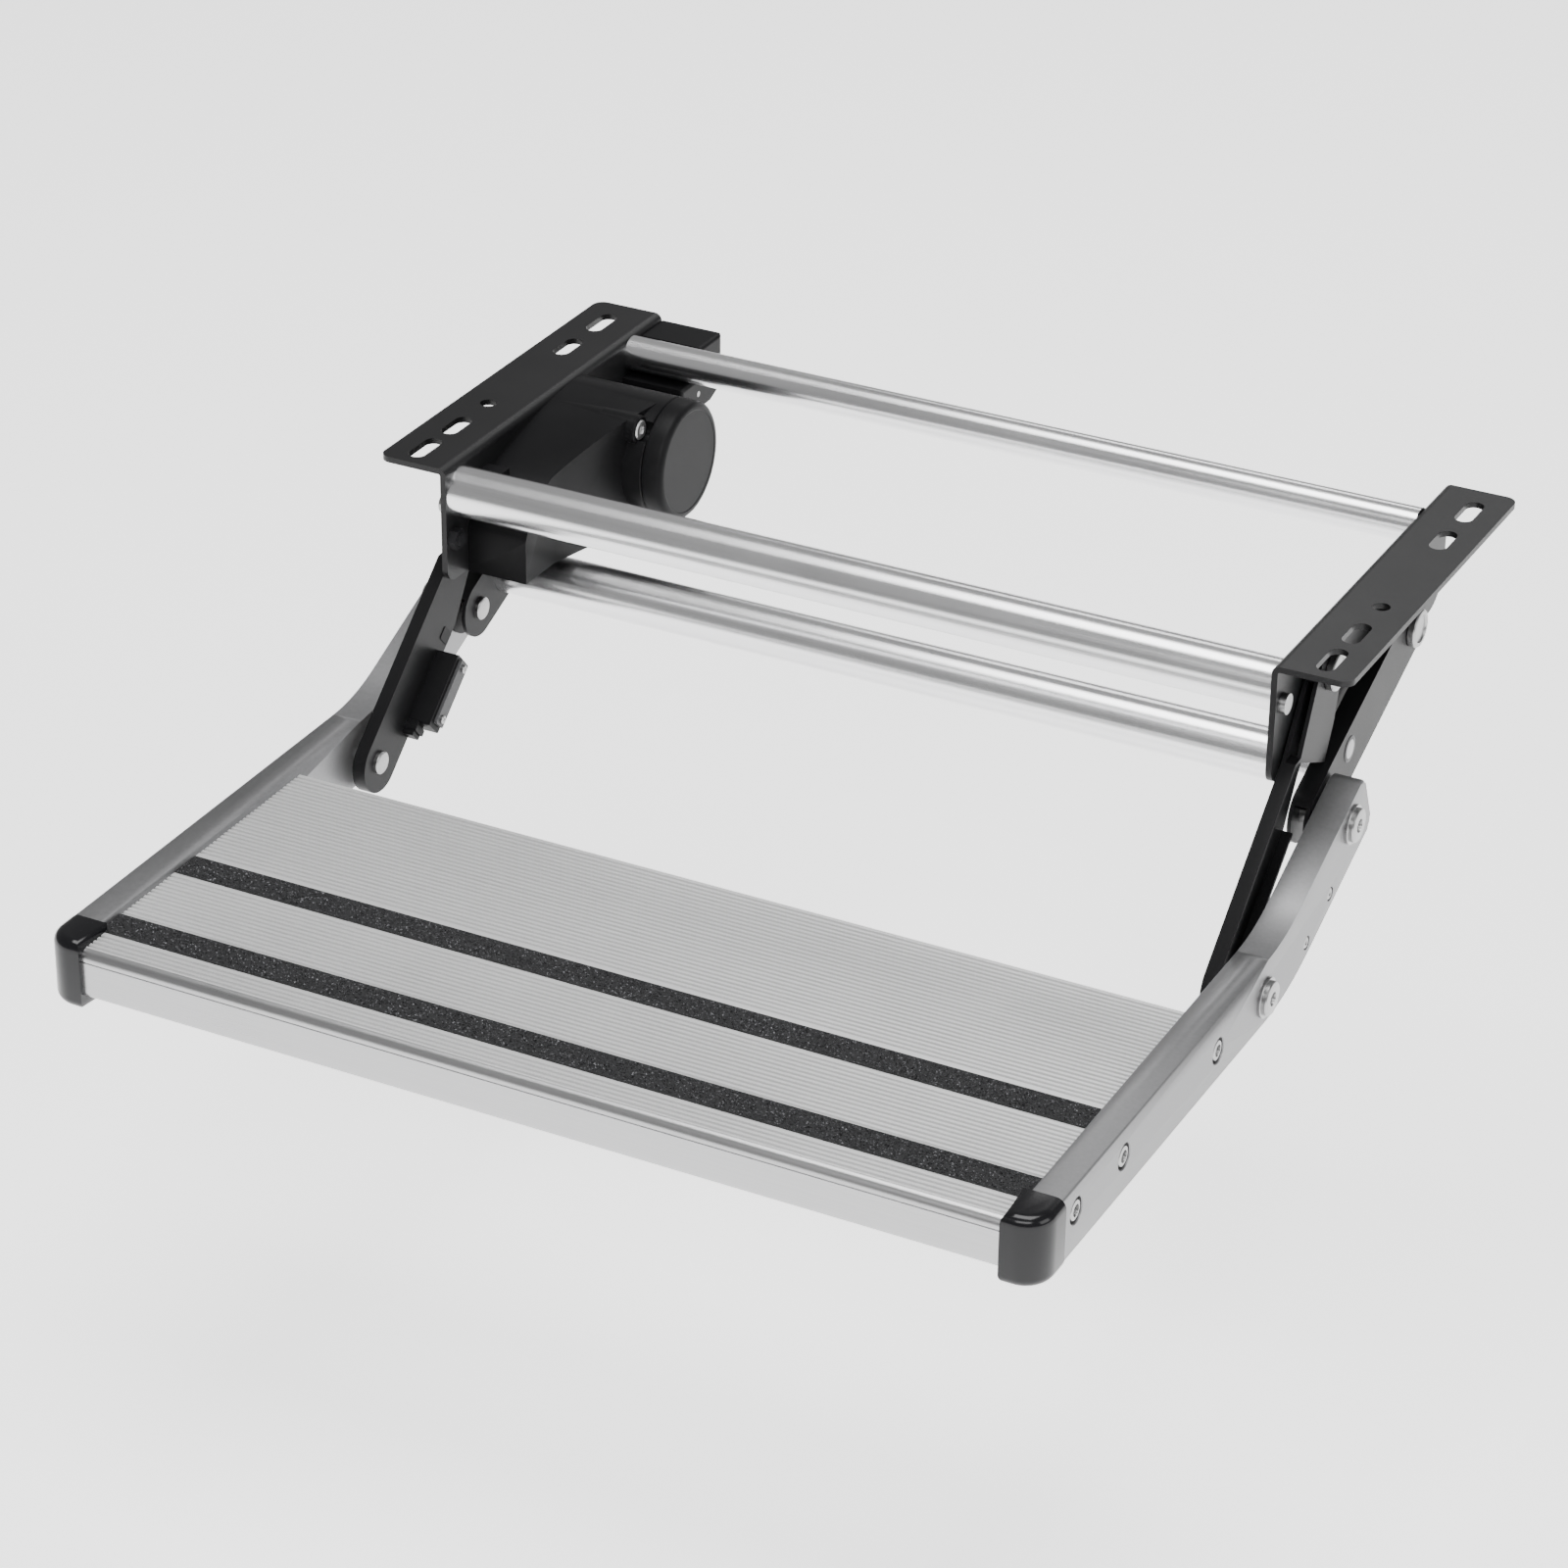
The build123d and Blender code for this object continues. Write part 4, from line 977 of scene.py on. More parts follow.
@dataclass
class Tread:
    """Ribbed tread board with a rounded nosing, in millimetres like all below."""

    fit: Fitter
    half: float = 232.0
    cap_inner: float = 229.0
    cap_rear: float = -362.0
    top: float = -117.0
    bottom: float = -141.5
    rear: float = -195.0
    last_groove: float = -198.0
    nose: float = -383.0
    nose_round: float = 5.0
    # share of the nose's rounding in front of which faces take the painted shade
    nose_shade_share: float = 0.8
    lower_round: float = 3.0
    pitch: float = 3.2
    gap: float = 1.6
    floor_share: float = 0.3
    depth: float = 1.5
    line_drop: float = 0.2
    line: Profile = ((0.0, -0.9), (0.5, -0.7), (0.5, -0.2), (0.0, 0.0))
    strips: Profile = ((-364.0, -347.0), (-303.0, -286.0))
    strip_depth: float = 0.9
    strip_slant: float = 0.01

    def _top(self) -> Outline:
        """Upper edge from the nose to the rear, with its grooves.

        Returns:
            Its points as Y and Z.
        """
        points: Outline = []
        wide, narrow, clear = self.gap / 2, self.gap * self.floor_share, self.pitch / 2
        floor = self.top - self.depth
        y = self.nose + self.nose_round + wide
        while y < self.last_groove:
            if all(not start - clear <= y <= end + clear for start, end in self.strips):
                points += [(y - wide, self.top), (y - narrow, floor),
                           (y + narrow, floor), (y + wide, self.top)]
            y += self.pitch
        floor = self.top - self.strip_depth
        for start, end in self.strips:
            points += [(start, self.top), (start + self.strip_slant, floor),
                       (end - self.strip_slant, floor), (end, self.top)]
        return sorted(points)

    def build(self) -> None:
        """Makes the board."""
        top = self._top()
        back = [(self.rear, self.top), (self.rear, self.bottom)]
        nose = around((self.nose + self.nose_round, self.top - self.nose_round),
                      self.nose_round, 180, 90)
        low = around((self.nose + self.lower_round, self.bottom + self.lower_round),
                     self.lower_round, 270, 180, 8)
        line = self.top - self.nose_round - self.line_drop
        groove = [(self.nose + y, line + z) for y, z in self.line]
        middle = low + groove + nose + top + back
        ends = [(self.cap_rear, self.bottom), (self.cap_rear, self.top - self.strip_depth)]
        ends += [point for point in top if point[0] > self.cap_rear] + back
        shape = Solid().prism(middle, -self.cap_inner, self.cap_inner)
        for side in Side:
            shape.prism(ends, side.value * self.cap_inner, side.value * self.half)
        board = shape.made("tread_board")
        # Faces in front of most of the nose's rounding, except the ends, take the darker copy of
        # the alloy: painted shade.
        edge = (self.nose + self.nose_round * self.nose_shade_share) * MM
        for face in board.data.polygons:
            if face.center.y < edge and abs(face.normal.x) < 0.5:
                face.material_index = 1
        self.fit.fix(board, "step", "silver_alloy", [Finish.TREAD, Finish.NOSE], ["tread"])


@dataclass
class EndCaps:
    """Glossy moulded caps at the front corners."""

    fit: Fitter
    inner: float = 229.0
    outer: float = 249.0
    front: float = -385.0
    rear: float = -362.0
    top: float = -113.0
    bottom: float = -148.0
    corner: float = 14.0
    corner_steps: int = 14
    rim: float = 5.0
    rim_steps: int = 6
    inner_share: float = 0.7
    sharp_from: float = 50.0

    def _ring(self, side: Side, height: float, inset: float) -> list[Triple]:
        """Outline of the cap at one height.

        Args:
            side: which cap.
            height: Z of the outline.
            inset: how far the front and the outer side draw in there.

        Returns:
            Its points.
        """
        bend = around((self.outer - self.corner, self.front + self.corner),
                      self.corner - inset, -90, 0, self.corner_steps)
        outline = [(self.inner, self.rear),
                   (self.inner + inset * self.inner_share, self.front + inset), *bend,
                   (self.outer - inset, self.rear)]
        return [(side.value * x, y, height) for x, y in outline]

    def build(self) -> None:
        """Makes both caps."""
        turns = [math.radians(90 * step / self.rim_steps) for step in range(self.rim_steps + 1)]
        rims = [(self.rim * (1 - math.sin(t)), self.rim * (1 - math.cos(t))) for t in turns]
        levels = [(self.bottom + rise, inset) for rise, inset in rims[::-1]]
        levels += [(self.top - rise, inset) for rise, inset in rims]
        for side in Side:
            cap = Solid().loft([self._ring(side, height, inset) for height, inset in levels])
            label = side.name.lower()
            self.fit.fix(cap.made(f"cap_{label}"), "step", "cap_plastic", [Finish.CAP],
                         [f"end_cap_{label}"], self.sharp_from)


@dataclass
class Rails:
    """Bent side rails with their screws and studs."""

    fit: Fitter
    inner: float = 232.0
    outer: float = 247.5
    top: float = -114.0
    depth: float = 33.0
    front: float = -362.0
    bend_from: float = -141.0
    bend_radius: float = 95.0
    bend: float = 24.0
    straight: float = 80.3
    tip_round: float = 5.0
    edge: float = 1.4
    screws: Profile = ((-195.5, -131.8), (-298.5, -128.5), (-348.0, -127.0))
    recess: Profile = ((-2.6, 6.2), (-0.5, 6.2), (0.3, 6.9))
    screw: Profile = ((-1.0, 2.5), (0.0, 5.2), (1.2, 5.2), (2.2, 4.6), (2.5, 3.5), (2.5, 2.9),
                      (0.9, 2.6))
    pins: Profile = ((-65.0, -117.8), (-92.0, -130.1))
    pin_hole: Profile = ((-1.4, 3.5), (1.0, 3.5))
    pin: Profile = ((-3.0, 1.6), (-1.4, 2.9), (-0.4, 2.9), (-0.1, 2.4), (-0.1, 1.3), (-0.8, 1.0))
    studs: Profile = (ARM_FOOT, (-42.0, -92.0))
    stud: Profile = ((-2.0, 4.0), (-0.01, 9.6), (1.2, 9.8), (1.5, 9.5), (1.5, 8.3), (3.1, 8.3),
                     (3.7, 7.9), (3.9, 7.3), (3.9, 3.4), (2.3, 3.0))

    def _outline(self) -> Outline:
        """Side view of a rail.

        Returns:
            Its points as Y and Z.
        """
        centre = (self.bend_from, self.top + self.bend_radius)
        turn = math.radians(self.bend)
        run = (self.straight * math.cos(turn), self.straight * math.sin(turn))
        upper = around(centre, self.bend_radius, -90, -90 + self.bend)
        lower = around(centre, self.bend_radius + self.depth, -90 + self.bend, -90)
        ends = [(y + run[0], z + run[1]) for y, z in (upper[-1], lower[0])]
        blunt = softened([upper[-1], *ends, lower[0]], self.tip_round)
        tip = [point for point in blunt if point[0] > lower[0][0] + self.straight / 2]
        return [(self.front, self.top), *upper, *tip, *lower, (self.front, self.top - self.depth)]

    def _fasteners(self, sign: int) -> Solid:
        """Screws, small pins and headed studs of one rail.

        Args:
            sign: sign of X on the rail's side.

        Returns:
            All of them as one shape.
        """
        made = Solid()
        seat = self.outer + self.recess[0][0]
        for places, profile, start, sides in ((self.screws, self.screw, seat, 48),
                                              (self.pins, self.pin, self.outer, 48),
                                              (self.studs, self.stud, self.outer, 56)):
            for place in places:
                made.turned(place, profile, sides, side=sign, start=start)
        return made

    def _rail(self, side: Side) -> None:
        """Makes one rail.

        Args:
            side: which rail.
        """
        sign, label = side.value, side.name.lower()

        def on_side(a: Vector, b: Vector) -> bool:
            """Tells the long edges of the rail's two faces."""
            return (abs(a.x - b.x) < NEAR / 10 and min(a.y, b.y) > self.front - NEAR
                    and max(a.y, b.y) > self.front + NEAR)

        shape = Solid().prism(self._outline(), sign * self.inner, sign * self.outer)
        rail = shape.ease(on_side, self.edge, 3).made(f"rail_body_{label}")
        holes = Solid()
        for places, profile in ((self.screws, self.recess), (self.pins, self.pin_hole)):
            for place in places:
                holes.turned(place, profile, side=sign, start=self.outer)
        rail = combined(rail, [holes], "DIFFERENCE")
        self.fit.fix(rail, "step", "silver_alloy", [Finish.RAIL], [f"rail_{label}"])

    def build(self) -> None:
        """Makes both rails and what is set in them."""
        for side in Side:
            self._rail(side)
        both = [self._fasteners(side.value).made(f"rail_fasteners_{side.name.lower()}")
                for side in Side]
        for piece in both:
            names = ("rail_screws", "insert_screws", "rail_studs") if piece is both[0] else ()
            self.fit.fix(piece, "step", "bright_steel", [Finish.ZINC], names)


def on_arm(up: float, back: float) -> Point:
    """Side-view point along and behind the lower front arm.

    Args:
        up: distance up the arm from its lower pivot.
        back: distance behind its line.

    Returns:
        The point's Y and Z.
    """
    along, rise = math.cos(math.radians(ARM_SLOPE)), math.sin(math.radians(ARM_SLOPE))
    return (ARM_FOOT[0] + up * along + back * rise, ARM_FOOT[1] + up * rise - back * along)


@dataclass
class FrontArms:
    """Front arms: a web with a front flange, and an outer wall forked over the pivot."""

    fit: Fitter
    inner: float = 221.0
    depth: float = 7.0
    sheet: float = 2.0
    pivot: Point = (-30.0, -22.0)
    lobe: float = 13.5
    crown: Point = (110.0, -40.0)
    crown_steps: int = 20
    crown_on_web: int = 14
    crown_on_wall: int = 18
    front: float = -13.0
    rear: float = 17.0
    rear_end: float = 83.7
    knee: float = 106.6
    foot: float = 15.0
    foot_steps: int = 24
    top_front: Point = (-47.3, -21.0)
    top: Point = (-41.5, -10.5)
    web_rear: Profile = ((-28.0, -36.0), (-53.0, -68.0))
    wall_front: Point = (-64.2, -54.4)
    wall_rear: Profile = ((-17.8, -34.6), (-22.5, -51.6), (-31.7, -69.3))

    def _outlines(self) -> dict[str, Outline]:
        """Outlines of the web, the full-depth folds and the outer wall.

        Returns:
            Points as Y and Z by the name of each.
        """
        sheet = self.sheet
        knee, knee_in = on_arm(self.knee, self.front), on_arm(self.knee, self.front + sheet)
        end, end_in = on_arm(self.rear_end, self.rear), on_arm(self.rear_end, self.rear - sheet)
        crown = around(self.pivot, self.lobe, *self.crown, self.crown_steps)
        heel = on_arm(0, self.rear - self.foot)
        rim, rim_in = (around(heel, radius, ARM_SLOPE + 90, ARM_SLOPE + 270, self.foot_steps)
                       for radius in (self.foot, self.foot - sheet))
        tie_y, tie_z = self.wall_front[0] + sheet, self.wall_front[1]
        y, z = self.pivot[0], self.pivot[1] + self.lobe
        return {
            "web": [*rim[::-1], knee, self.top_front, self.top, *crown[:self.crown_on_web],
                    *self.web_rear, end],
            "flange": [on_arm(0, self.front), knee, knee_in, on_arm(0, self.front + sheet)],
            "rear": [on_arm(0, self.rear), end, end_in, on_arm(0, self.rear - sheet)],
            "heel": rim + rim_in[::-1],
            "tie": [(tie_y, tie_z + sheet), knee, knee_in, (tie_y, tie_z)],
            "bridge": [self.top_front, self.top, crown[0], (y, z), (y, z - sheet),
                       (self.top[0] + sheet / 2, self.top[1] - sheet),
                       (self.top_front[0] + sheet, self.top_front[1])],
            "wall": [self.wall_front, self.top_front, self.top, *crown[:self.crown_on_wall],
                     *self.wall_rear],
        }

    def build(self) -> None:
        """Makes both arms."""
        shapes = self._outlines()
        outer = self.inner + self.depth
        for side in Side:
            sign, label = side.value, side.name.lower()
            web = Solid().prism(shapes["web"], sign * self.inner, sign * (self.inner + self.sheet))
            parts = [Solid().prism(shapes[key], sign * self.inner, sign * outer)
                     for key in ("flange", "rear", "heel", "tie", "bridge")]
            parts.append(Solid().prism(shapes["wall"], sign * (outer - self.sheet), sign * outer))
            arm = combined(web.made(f"arm_front_{label}"), parts, "UNION")
            self.fit.fix(arm, "front_arms", "arm_coat", [Finish.ARM], [f"front_arm_{label}"])


@dataclass
class PivotStuds:
    """Dished stud heads, small pins, bushes and bar heads on the arms."""

    fit: Fitter
    web: float = 217.0
    arm: float = 221.0
    front_face: float = 228.1
    rear_face: float = 231.1
    front: Point = (-30.0, -22.0)
    rear: Point = (71.0, -44.0)
    upper: Point = (-42.0, -92.0)
    bar: Point = (-6.7, -73.4)
    pin_end: float = 241.0
    rivet_end: float = 231.0
    shank: float = 5.0
    bush: float = 7.0
    bush_gap: float = 0.1
    dish: Profile = ((0.0, 9.2), (0.3, 9.5), (3.1, 9.5), (3.7, 9.1), (4.0, 8.4), (4.0, 7.0),
                     (3.2, 6.4))
    pin: Profile = ((-2.5, 4.4), (-2.1, 5.4), (-1.7, 5.8), (0.0, 5.8), (0.0, 5.0))
    heads: tuple[Profile, Profile] = (((-0.3, 6.6), (0.2, 6.6), (0.3, 6.3), (0.3, 4.6)),
                                      ((-0.3, 4.7), (0.35, 4.7), (0.45, 4.3), (0.45, 0.4)))

    def build(self) -> None:
        """Makes the studs, pins, bushes and heads."""
        studs, bushes, pins, rivets, heads = (Solid() for _ in range(5))
        for side in Side:
            sign = side.value
            bushes.turned(self.front, [(self.arm, self.bush),
                                       (self.front_face - self.bush_gap, self.bush)], side=sign)
            faces = [(self.front, self.front_face), (self.rear, self.rear_face)]
            if side is Side.LEFT:  # the output shaft takes the stud's place
                faces.pop()
            for place, face in faces:
                dish = [(face + x, radius) for x, radius in self.dish]
                studs.turned(place, [(self.web, self.shank), (face, self.shank), *dish], 56,
                             side=sign)
            collar = [(self.arm + x, radius) for x, radius in self.pin]
            pins.turned(ARM_FOOT, [*collar, (self.pin_end, self.shank)], side=sign)
            rivets.turned(self.upper, [*collar, (self.rivet_end, self.shank)], side=sign)
            for slot, profile in enumerate(self.heads):
                heads.turned(self.bar, profile, slot=slot, side=sign, start=self.rivet_end)
        for name, shape, body, finishes, nodes in (
            ("rail_pins", pins, "front_arms", [Finish.ZINC], ["front_rail_pins"]),
            ("arm_rivets", rivets, "rear_arms", [Finish.ZINC], ["rear_rail_rivets"]),
            ("crossbar_heads", heads, "rear_arms", [Finish.MOTOR, Finish.STEEL], []),
            ("dished_studs", studs, "frame", [Finish.ZINC], ["pivot_studs"]),
        ):
            self.fit.fix(shape.made(name), body, "bright_steel", finishes, nodes)
        self.fit.fix(bushes.made("arm_bushes"), "front_arms", "bush_bronze", [Finish.BRONZE],
                     ["front_arm_bushes"])


def rimmed(start: float, end: float, radius: float, rim: Sequence[Point]) -> Outline:
    """Profile of a turned part whose far end is eased.

    Args:
        start: X of its flat end.
        end: X of its eased end.
        radius: its radius.
        rim: how far each ring near that end stands back from the end and the radius.

    Returns:
        X and radius of each ring.
    """
    return [(start, radius), *((end - back, radius - inward) for back, inward in rim)]


@dataclass
class Gearbox:
    """Cast gearbox housing with the round motor boss and its cap."""

    fit: Fitter
    web: float = -217.0
    face: float = -184.0
    floor: float = -187.0
    bottom: float = -63.0
    front: float = -59.0
    brow: Profile = ((-59.0, -40.0), (-47.2, -24.4), (-30.0, -15.0))
    ridge: Point = (4.0, -6.2)
    slope_from: float = -32.0
    slope: float = 0.2394
    crest: float = 5.0
    crest_low: float = -40.5
    crest_run: float = 30.0
    spare: float = 5.0
    cut_span: Point = (-99.0, 120.0)
    cut_top: float = 20.0
    motor: Point = (47.67, -31.96)
    can: float = 25.8
    boss: float = 31.0
    boss_end: float = -161.5
    boss_rim: Profile = ((0.6, 0.0), (0.0, 0.6))
    output: Point = (71.0, -44.0)
    bulge: float = 22.75
    bulge_rim: Profile = ((2.0, 0.0), (0.6, 0.6), (0.0, 2.0))
    wall: float = 3.0
    ears: Profile = ((25.96, -9.34), (67.94, -57.64))
    ear: float = 7.4
    ear_end: float = -166.0
    ear_rim: Profile = ((0.8, 0.0), (0.0, 0.8))
    bore: float = 5.7
    seat: float = -169.4
    screw: Profile = ((-10.6, 2.4), (0.0, 2.4), (0.0, 5.3), (2.9, 5.3), (3.8, 4.5), (3.8, 2.3),
                      (2.2, 2.0))
    lug: tuple[Point, Point] = ((-50.0, -32.0), (-38.0, -13.0))
    lug_width: float = 12.0
    room_base: Profile = ((60.0, -60.0), (-56.0, -60.0))
    room_brow: Profile = ((-56.0, -41.0), (-45.0, -28.0), (-29.0, -19.0))
    room_ridge: Profile = ((-29.0, -19.0), (4.0, -10.0), (44.0, -5.0))
    room_back: Point = (60.0, -10.0)
    shaft: Point = (46.95, -33.49)
    shaft_hole: float = 4.3
    cap_from: float = -161.1
    cap_lip: float = 0.5
    cap_plug: float = 2.4
    cap_end: float = -150.0
    cap_rim: Profile = ((3.2, 0.0), (1.6, 0.5), (0.5, 1.6), (0.0, 3.2), (0.0, 4.2), (0.25, 4.6))

    def _body(self) -> bpy.types.Object:
        """Domed body with its sloping end face.

        Returns:
            The body, which the rest of the housing is added to.
        """
        top = (self.motor[0], self.motor[1] + self.boss)
        dome = [(self.output[0], self.bottom), (self.front, self.bottom), *bowed(*self.brow),
                *bowed(self.brow[-1], self.ridge, top)[1:], self.motor, self.output]
        far = self.face + self.slope * (self.motor[0] - self.slope_from)
        body = Solid().prism(dome, self.web, far).made("gearbox_cover")
        low, high = self.cut_span
        wedge = [(far + self.spare, low), (self.face, low), (self.face, self.slope_from),
                 (far, self.motor[0]), (self.face, self.motor[0]), (self.face, high),
                 (far + self.spare, high)]
        body = combined(body, [Solid().post(wedge, low, self.cut_top)], "DIFFERENCE")
        shape = Solid()
        shape.mesh.from_mesh(body.data)
        bpy.data.objects.remove(body)

        def on_crest(a: Vector, b: Vector) -> bool:
            """Tells the edges between the dome and the end face.

            Args:
                a: one end of an edge in millimetres.
                b: its other end.

            Returns:
                Whether the edge is one of them.
            """
            level = all(abs(v.x - self.face - self.slope * max(0.0, v.y - self.slope_from))
                        < NEAR / 2 for v in (a, b))
            across = abs(a.y - self.slope_from) + abs(b.y - self.slope_from) < NEAR / 5
            return (level and not across and min(a.z, b.z) > self.crest_low
                    and max(a.y, b.y) < self.motor[0] - NEAR
                    and abs(a.y - b.y) < self.crest_run and (a - b).length > NEAR / 10)

        return shape.ease(on_crest, self.crest, 6).made("gearbox_cover")

    def _rooms(self) -> list[Solid]:
        """Hollows for the gears, the shafts and the motor.

        Returns:
            One closed shape for each.
        """
        reach = self.web - NEAR
        gears = [*self.room_base, *bowed(*self.room_brow), *bowed(*self.room_ridge), self.room_back]
        wheel, hole, can = self.bulge - self.wall, self.shaft_hole, self.can
        return [
            Solid().prism(gears, reach, self.floor),
            Solid().turned(self.output, [(reach, wheel), (self.floor, wheel)], 72),
            Solid().turned(self.shaft, [(self.floor - 1, hole), (self.face + 1, hole)]),
            Solid().turned(self.motor, [(self.face - 0.2, can), (self.boss_end + 1, can)], 72),
        ]

    def build(self) -> None:
        """Makes the housing and the motor cap."""
        (front, low), (rear, high) = self.lug
        lug = [(front, low), (rear, low), (rear, high), (front, high)]
        bulge = rimmed(self.web, self.face, self.bulge, self.bulge_rim)
        boss = rimmed(self.web, self.boss_end, self.boss, self.boss_rim)
        body = combined(self._body(), [
            Solid().turned(self.output, bulge, 72), Solid().turned(self.motor, boss, 96),
            Solid().prism(lug, self.web, self.web + self.lug_width),
        ], "UNION")
        screws = Solid()
        for place in self.ears:
            ear = rimmed(self.face - self.wall, self.ear_end, self.ear, self.ear_rim)
            body = combined(body, [Solid().turned(place, ear)], "UNION")
            bore = [(self.seat, self.bore), (self.boss_end + self.spare, self.bore)]
            body = combined(body, [Solid().turned(place, bore)], "DIFFERENCE")
            screws.turned(place, self.screw, start=self.seat)
        body = combined(body, self._rooms(), "DIFFERENCE")
        self.fit.fix(body, "frame", "housing_cast", [Finish.HOUSING], ["gearbox_housing"])
        self.fit.fix(screws.made("ear_screws"), "frame", "bright_steel", [Finish.HEAD],
                     ["housing_screws"])
        cap = [(self.cap_end - self.cap_plug, self.can), (self.cap_from, self.can),
               (self.cap_from, self.boss - self.cap_lip),
               *rimmed(self.cap_from + self.cap_lip, self.cap_end, self.boss, self.cap_rim)]
        self.fit.fix(Solid().turned(self.motor, cap, 96).made("motor_end_cap"), "frame",
                     "box_plastic", [Finish.BOX], ["motor_cap"])


@dataclass(frozen=True)
class Block:
    """Block square to the lower front arm."""

    up: Point
    back: Point
    ends: Point
    slot: int = 0


@dataclass
class Switch:
    """Position switch on the inner side of the left front arm.

    Its blocks are the body, the plug, the plug's latch, the cover strip and the label.
    """

    fit: Fitter
    blocks: tuple[Block, ...] = (
        Block((28.0, 67.0), (10.5, 22.0), (-221.0, -209.0)),
        Block((20.5, 28.5), (9.5, 17.0), (-221.0, -215.0)),
        Block((23.0, 26.5), (8.7, 17.8), (-221.0, -214.0)),
        Block((31.0, 66.0), (13.5, 21.5), (-209.0, -207.4), 1),
        Block((72.0, 79.0), (8.0, 16.5), (-221.0, -220.6)),
    )
    corner: float = 1.2
    screws: Profile = ((62.5, 17.5), (34.5, 17.5))
    screw: Profile = ((-207.4, 2.1), (-206.4, 2.1), (-206.0, 1.6), (-206.0, 0.9), (-206.5, 0.7))

    def build(self) -> None:
        """Makes the switch."""
        shape = Solid()
        for block in self.blocks:
            (low, high), (near, far) = block.up, block.back
            corners = [on_arm(low, near), on_arm(high, near), on_arm(high, far), on_arm(low, far)]
            shape.prism(softened(corners, self.corner), *block.ends, block.slot)
        for place in self.screws:
            shape.turned(on_arm(*place), self.screw, 24, 2)
        self.fit.fix(shape.made("position_switch"), "front_arms", "box_plastic",
                     [Finish.BOX, Finish.COVER, Finish.ZINC],
                     ["switch_body", "switch_cover", "switch_fixings", "switch_label"])


@dataclass
class GritStrips:
    """Anti-slip strips in the tread, with mineral grains bonded to them."""

    fit: Fitter
    half_length: float = 231.6
    bottom: float = -117.9
    top: float = -116.5
    edges: Profile = ((-364.0, -347.0), (-303.0, -286.0))
    margin: float = 0.5
    per_mm2: float = 1.15
    grain: float = 0.44

    def _faces(self) -> bpy.types.Object:
        """Upper faces of the strips as bare quads.

        Returns:
            The surface to scatter on.
        """
        corners: list[Triple] = []
        for low, high in self.edges:
            front, rear = low + self.margin, high - self.margin
            for x, y in ((-1, front), (1, front), (1, rear), (-1, rear)):
                corners.append((x * self.half_length * MM, y * MM, self.top * MM))
        mesh = bpy.data.meshes.new("strip_tops")
        mesh.from_pydata(corners, [], [range(i, i + 4) for i in range(0, len(corners), 4)])
        return linked("strip_tops", mesh)

    def build(self) -> None:
        """Makes the strips, scatters the grains and fixes both to the step."""
        base = Solid()
        for low, high in self.edges:
            base.prism([(low, self.bottom), (high, self.bottom), (high, self.top), (low, self.top)],
                       -self.half_length, self.half_length)
        self.fit.fix(base.made("strip_base"), "step", "grip_rubber", [Finish.STRIP],
                     ["grip_strips"])
        tree = GrainTree(self.fit.paint.get(Finish.GRAIN))
        grains = tree.build("strip_grit", self._faces(), self.per_mm2, self.grain)
        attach(grains, "step")
        LOG.info("strip_grit: %d faces", len(grains.data.polygons))


# ---- studio -------------------------------------------------------------


@dataclass(frozen=True)
class Lamp:
    """One soft box, in metres and watts."""

    name: str
    place: Triple
    size: Point
    power: float
    aim: Triple = (0.0, -0.15, -0.1)

    def hang(self) -> None:
        """Hangs it, facing its aim."""
        data = bpy.data.lights.new(self.name, "AREA")
        data.shape = "RECTANGLE"
        data.size, data.size_y = self.size
        data.energy = self.power
        made = linked(self.name, data)
        made.location = self.place
        made.rotation_mode = "QUATERNION"
        made.rotation_quaternion = (Vector(self.aim) - Vector(self.place)).to_track_quat("-Z", "Y")


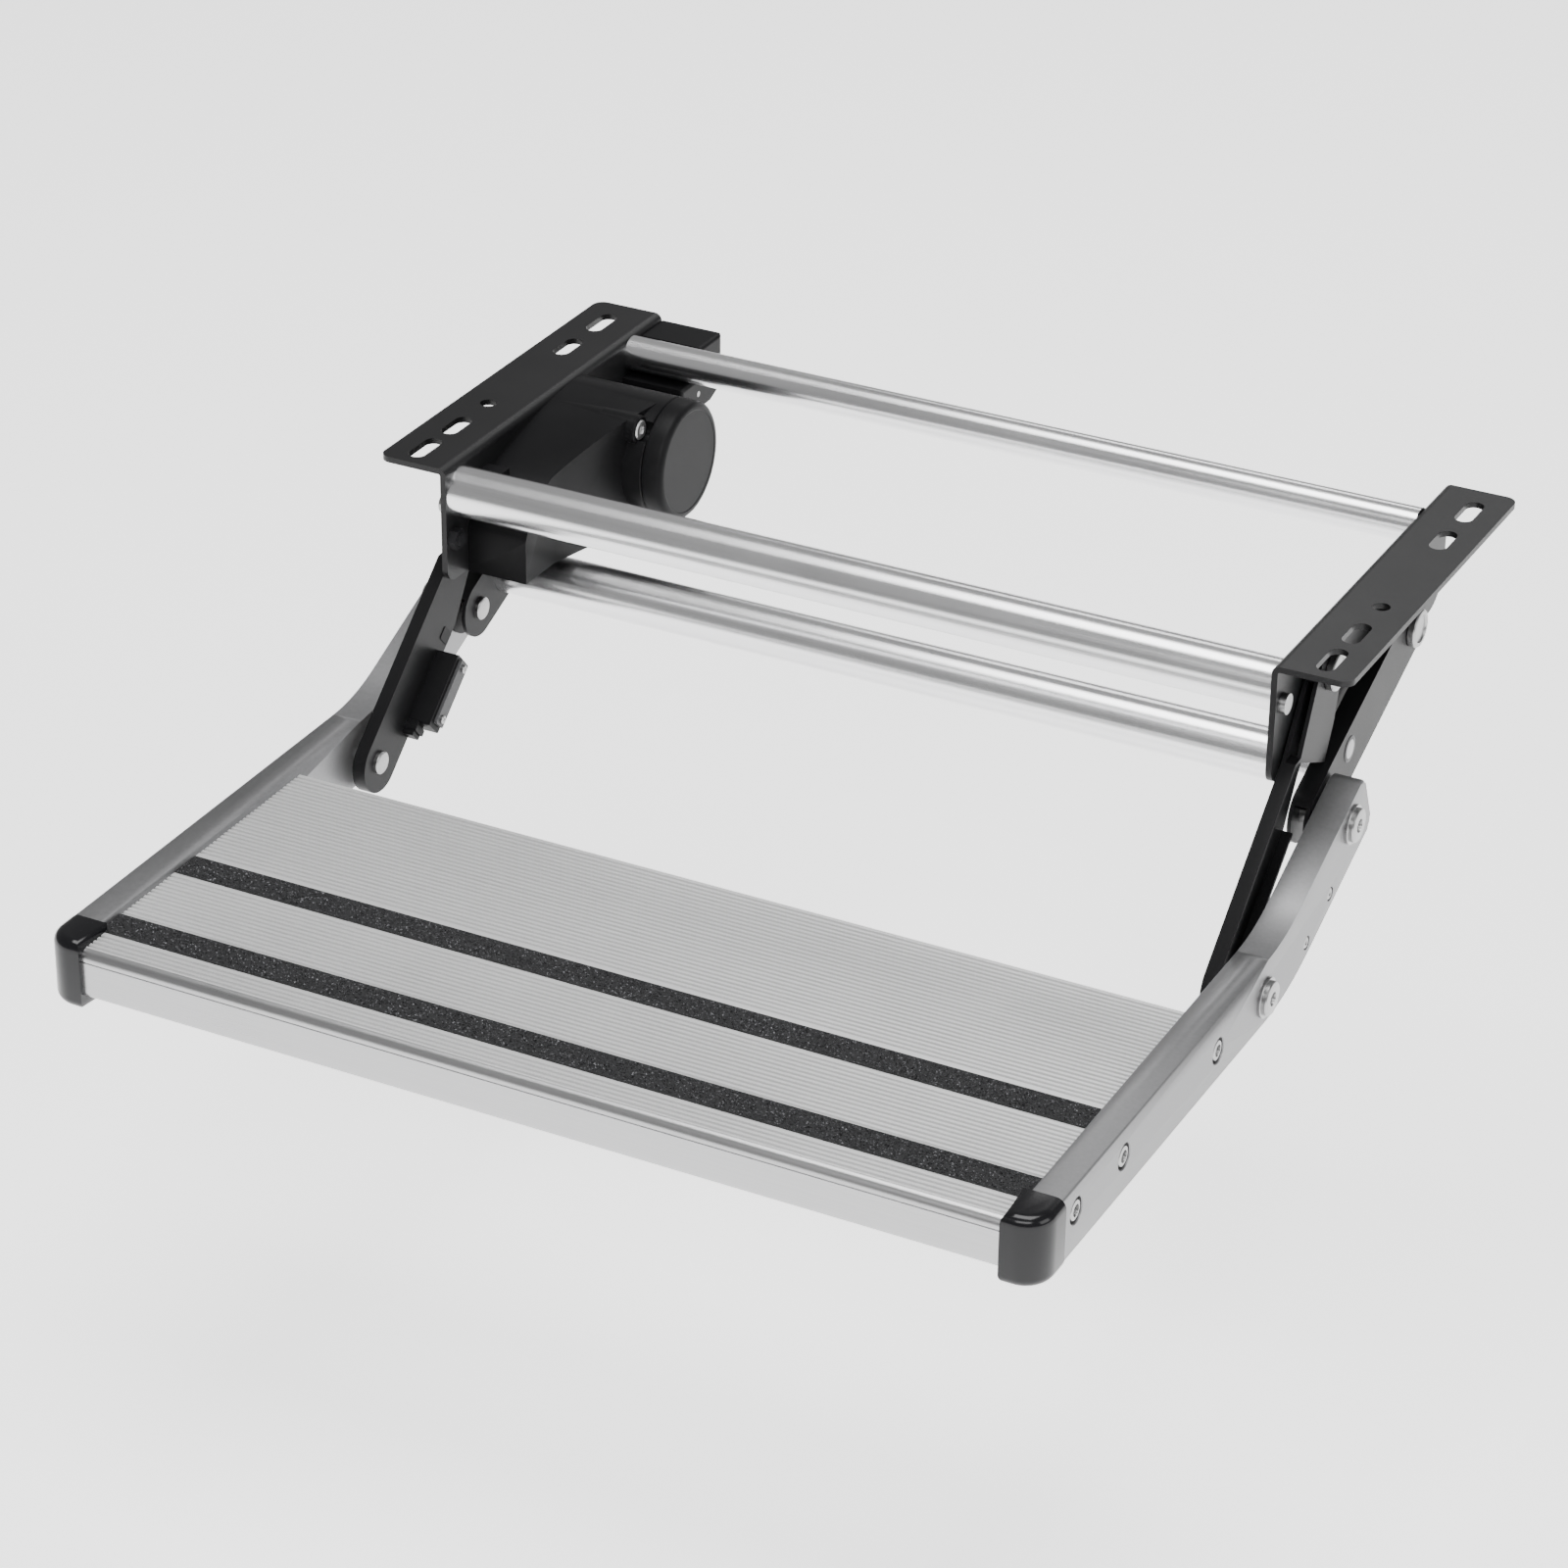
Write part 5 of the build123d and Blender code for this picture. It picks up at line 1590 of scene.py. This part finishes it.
@dataclass
class Studio:
    """Camera, floor and soft lights, in metres."""

    azimuth: float = 27.1
    elevation: float = 28.65
    roll: float = -0.65
    focal: float = 4950.0
    frame: float = 1600.0
    sensor: float = 36.0
    clip: Point = (0.05, 50.0)
    eye: Triple = (0.9086, -1.9125, 1.0)
    floor_z: float = -0.36
    floor_reach: float = 14.0
    floor_paint: tuple[float, ...] = (0.95, 0.95, 0.95, 1.0)
    floor_glow: float = 1.5
    sky: float = 0.30
    lamps: tuple[Lamp, ...] = (
        Lamp("top", (0.0, -0.2, 2.5), (2.0, 1.5), 74.0),
        Lamp("front", (0.7, -2.6, 2.0), (2.6, 1.0), 50.0),
        Lamp("right", (2.7, -0.3, 1.0), (1.6, 1.2), 20.0),
        Lamp("back", (0.0, 2.4, 1.6), (2.4, 0.4), 14.0, (0.0, -0.1, -0.1)),
    )

    def camera(self) -> None:
        """Sets the camera at the photograph's angle."""
        turn, lift, lean = (math.radians(a) for a in (self.azimuth, self.elevation, self.roll))
        ahead = -Vector((math.sin(turn) * math.cos(lift), -math.cos(turn) * math.cos(lift),
                         math.sin(lift)))
        right = ahead.cross(Vector((0, 0, 1))).normalized()
        down = ahead.cross(right)
        right, down = (math.cos(lean) * right + math.sin(lean) * down,
                       math.cos(lean) * down - math.sin(lean) * right)
        data = bpy.data.cameras.new("camera")
        data.sensor_width = self.sensor
        data.lens = self.sensor * self.focal / self.frame
        data.clip_start, data.clip_end = self.clip
        made = linked("camera", data)
        rows = zip(right, -down, -ahead, self.eye)
        made.matrix_world = Matrix((*rows, (0, 0, 0, 1)))
        bpy.context.scene.camera = made

    def floor(self) -> None:
        """Lays a plain pale floor."""
        mesh = bpy.data.meshes.new("floor")
        corners = ((-1, -1), (1, -1), (1, 1), (-1, 1))
        mesh.from_pydata([(x * self.floor_reach, y * self.floor_reach, self.floor_z)
                          for x, y in corners], [], [range(4)])
        made = linked("floor", mesh)
        made.data.materials.append(Bench("floor_paint").finish({
            "Base Color": self.floor_paint, "Roughness": 0.9, "Specular IOR Level": 0.05,
            "Emission Color": self.floor_paint, "Emission Strength": self.floor_glow,
        }))

    def build(self) -> None:
        """Sets up the whole studio."""
        self.camera()
        self.floor()
        world = bpy.data.worlds.new("studio")
        world.use_nodes = True
        back = world.node_tree.nodes["Background"]
        back.inputs["Color"].default_value = (1.0, 1.0, 1.0, 1.0)
        back.inputs["Strength"].default_value = self.sky
        bpy.context.scene.world = world
        for lamp in self.lamps:
            lamp.hang()


def main() -> None:
    """Dresses the frame, adds the finer pieces and lights the scene."""
    logging.basicConfig(level=logging.INFO, format="%(name)s: %(message)s")
    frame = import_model()
    paint = Paintbox()
    Dressing(paint).build(frame["nodes"])
    fitter = Fitter(paint)
    for assembly in (Tread, EndCaps, Rails, FrontArms, PivotStuds, Gearbox, Switch, GritStrips):
        assembly(fitter).build()
    Studio().build()


if __name__ == "__main__":
    main()
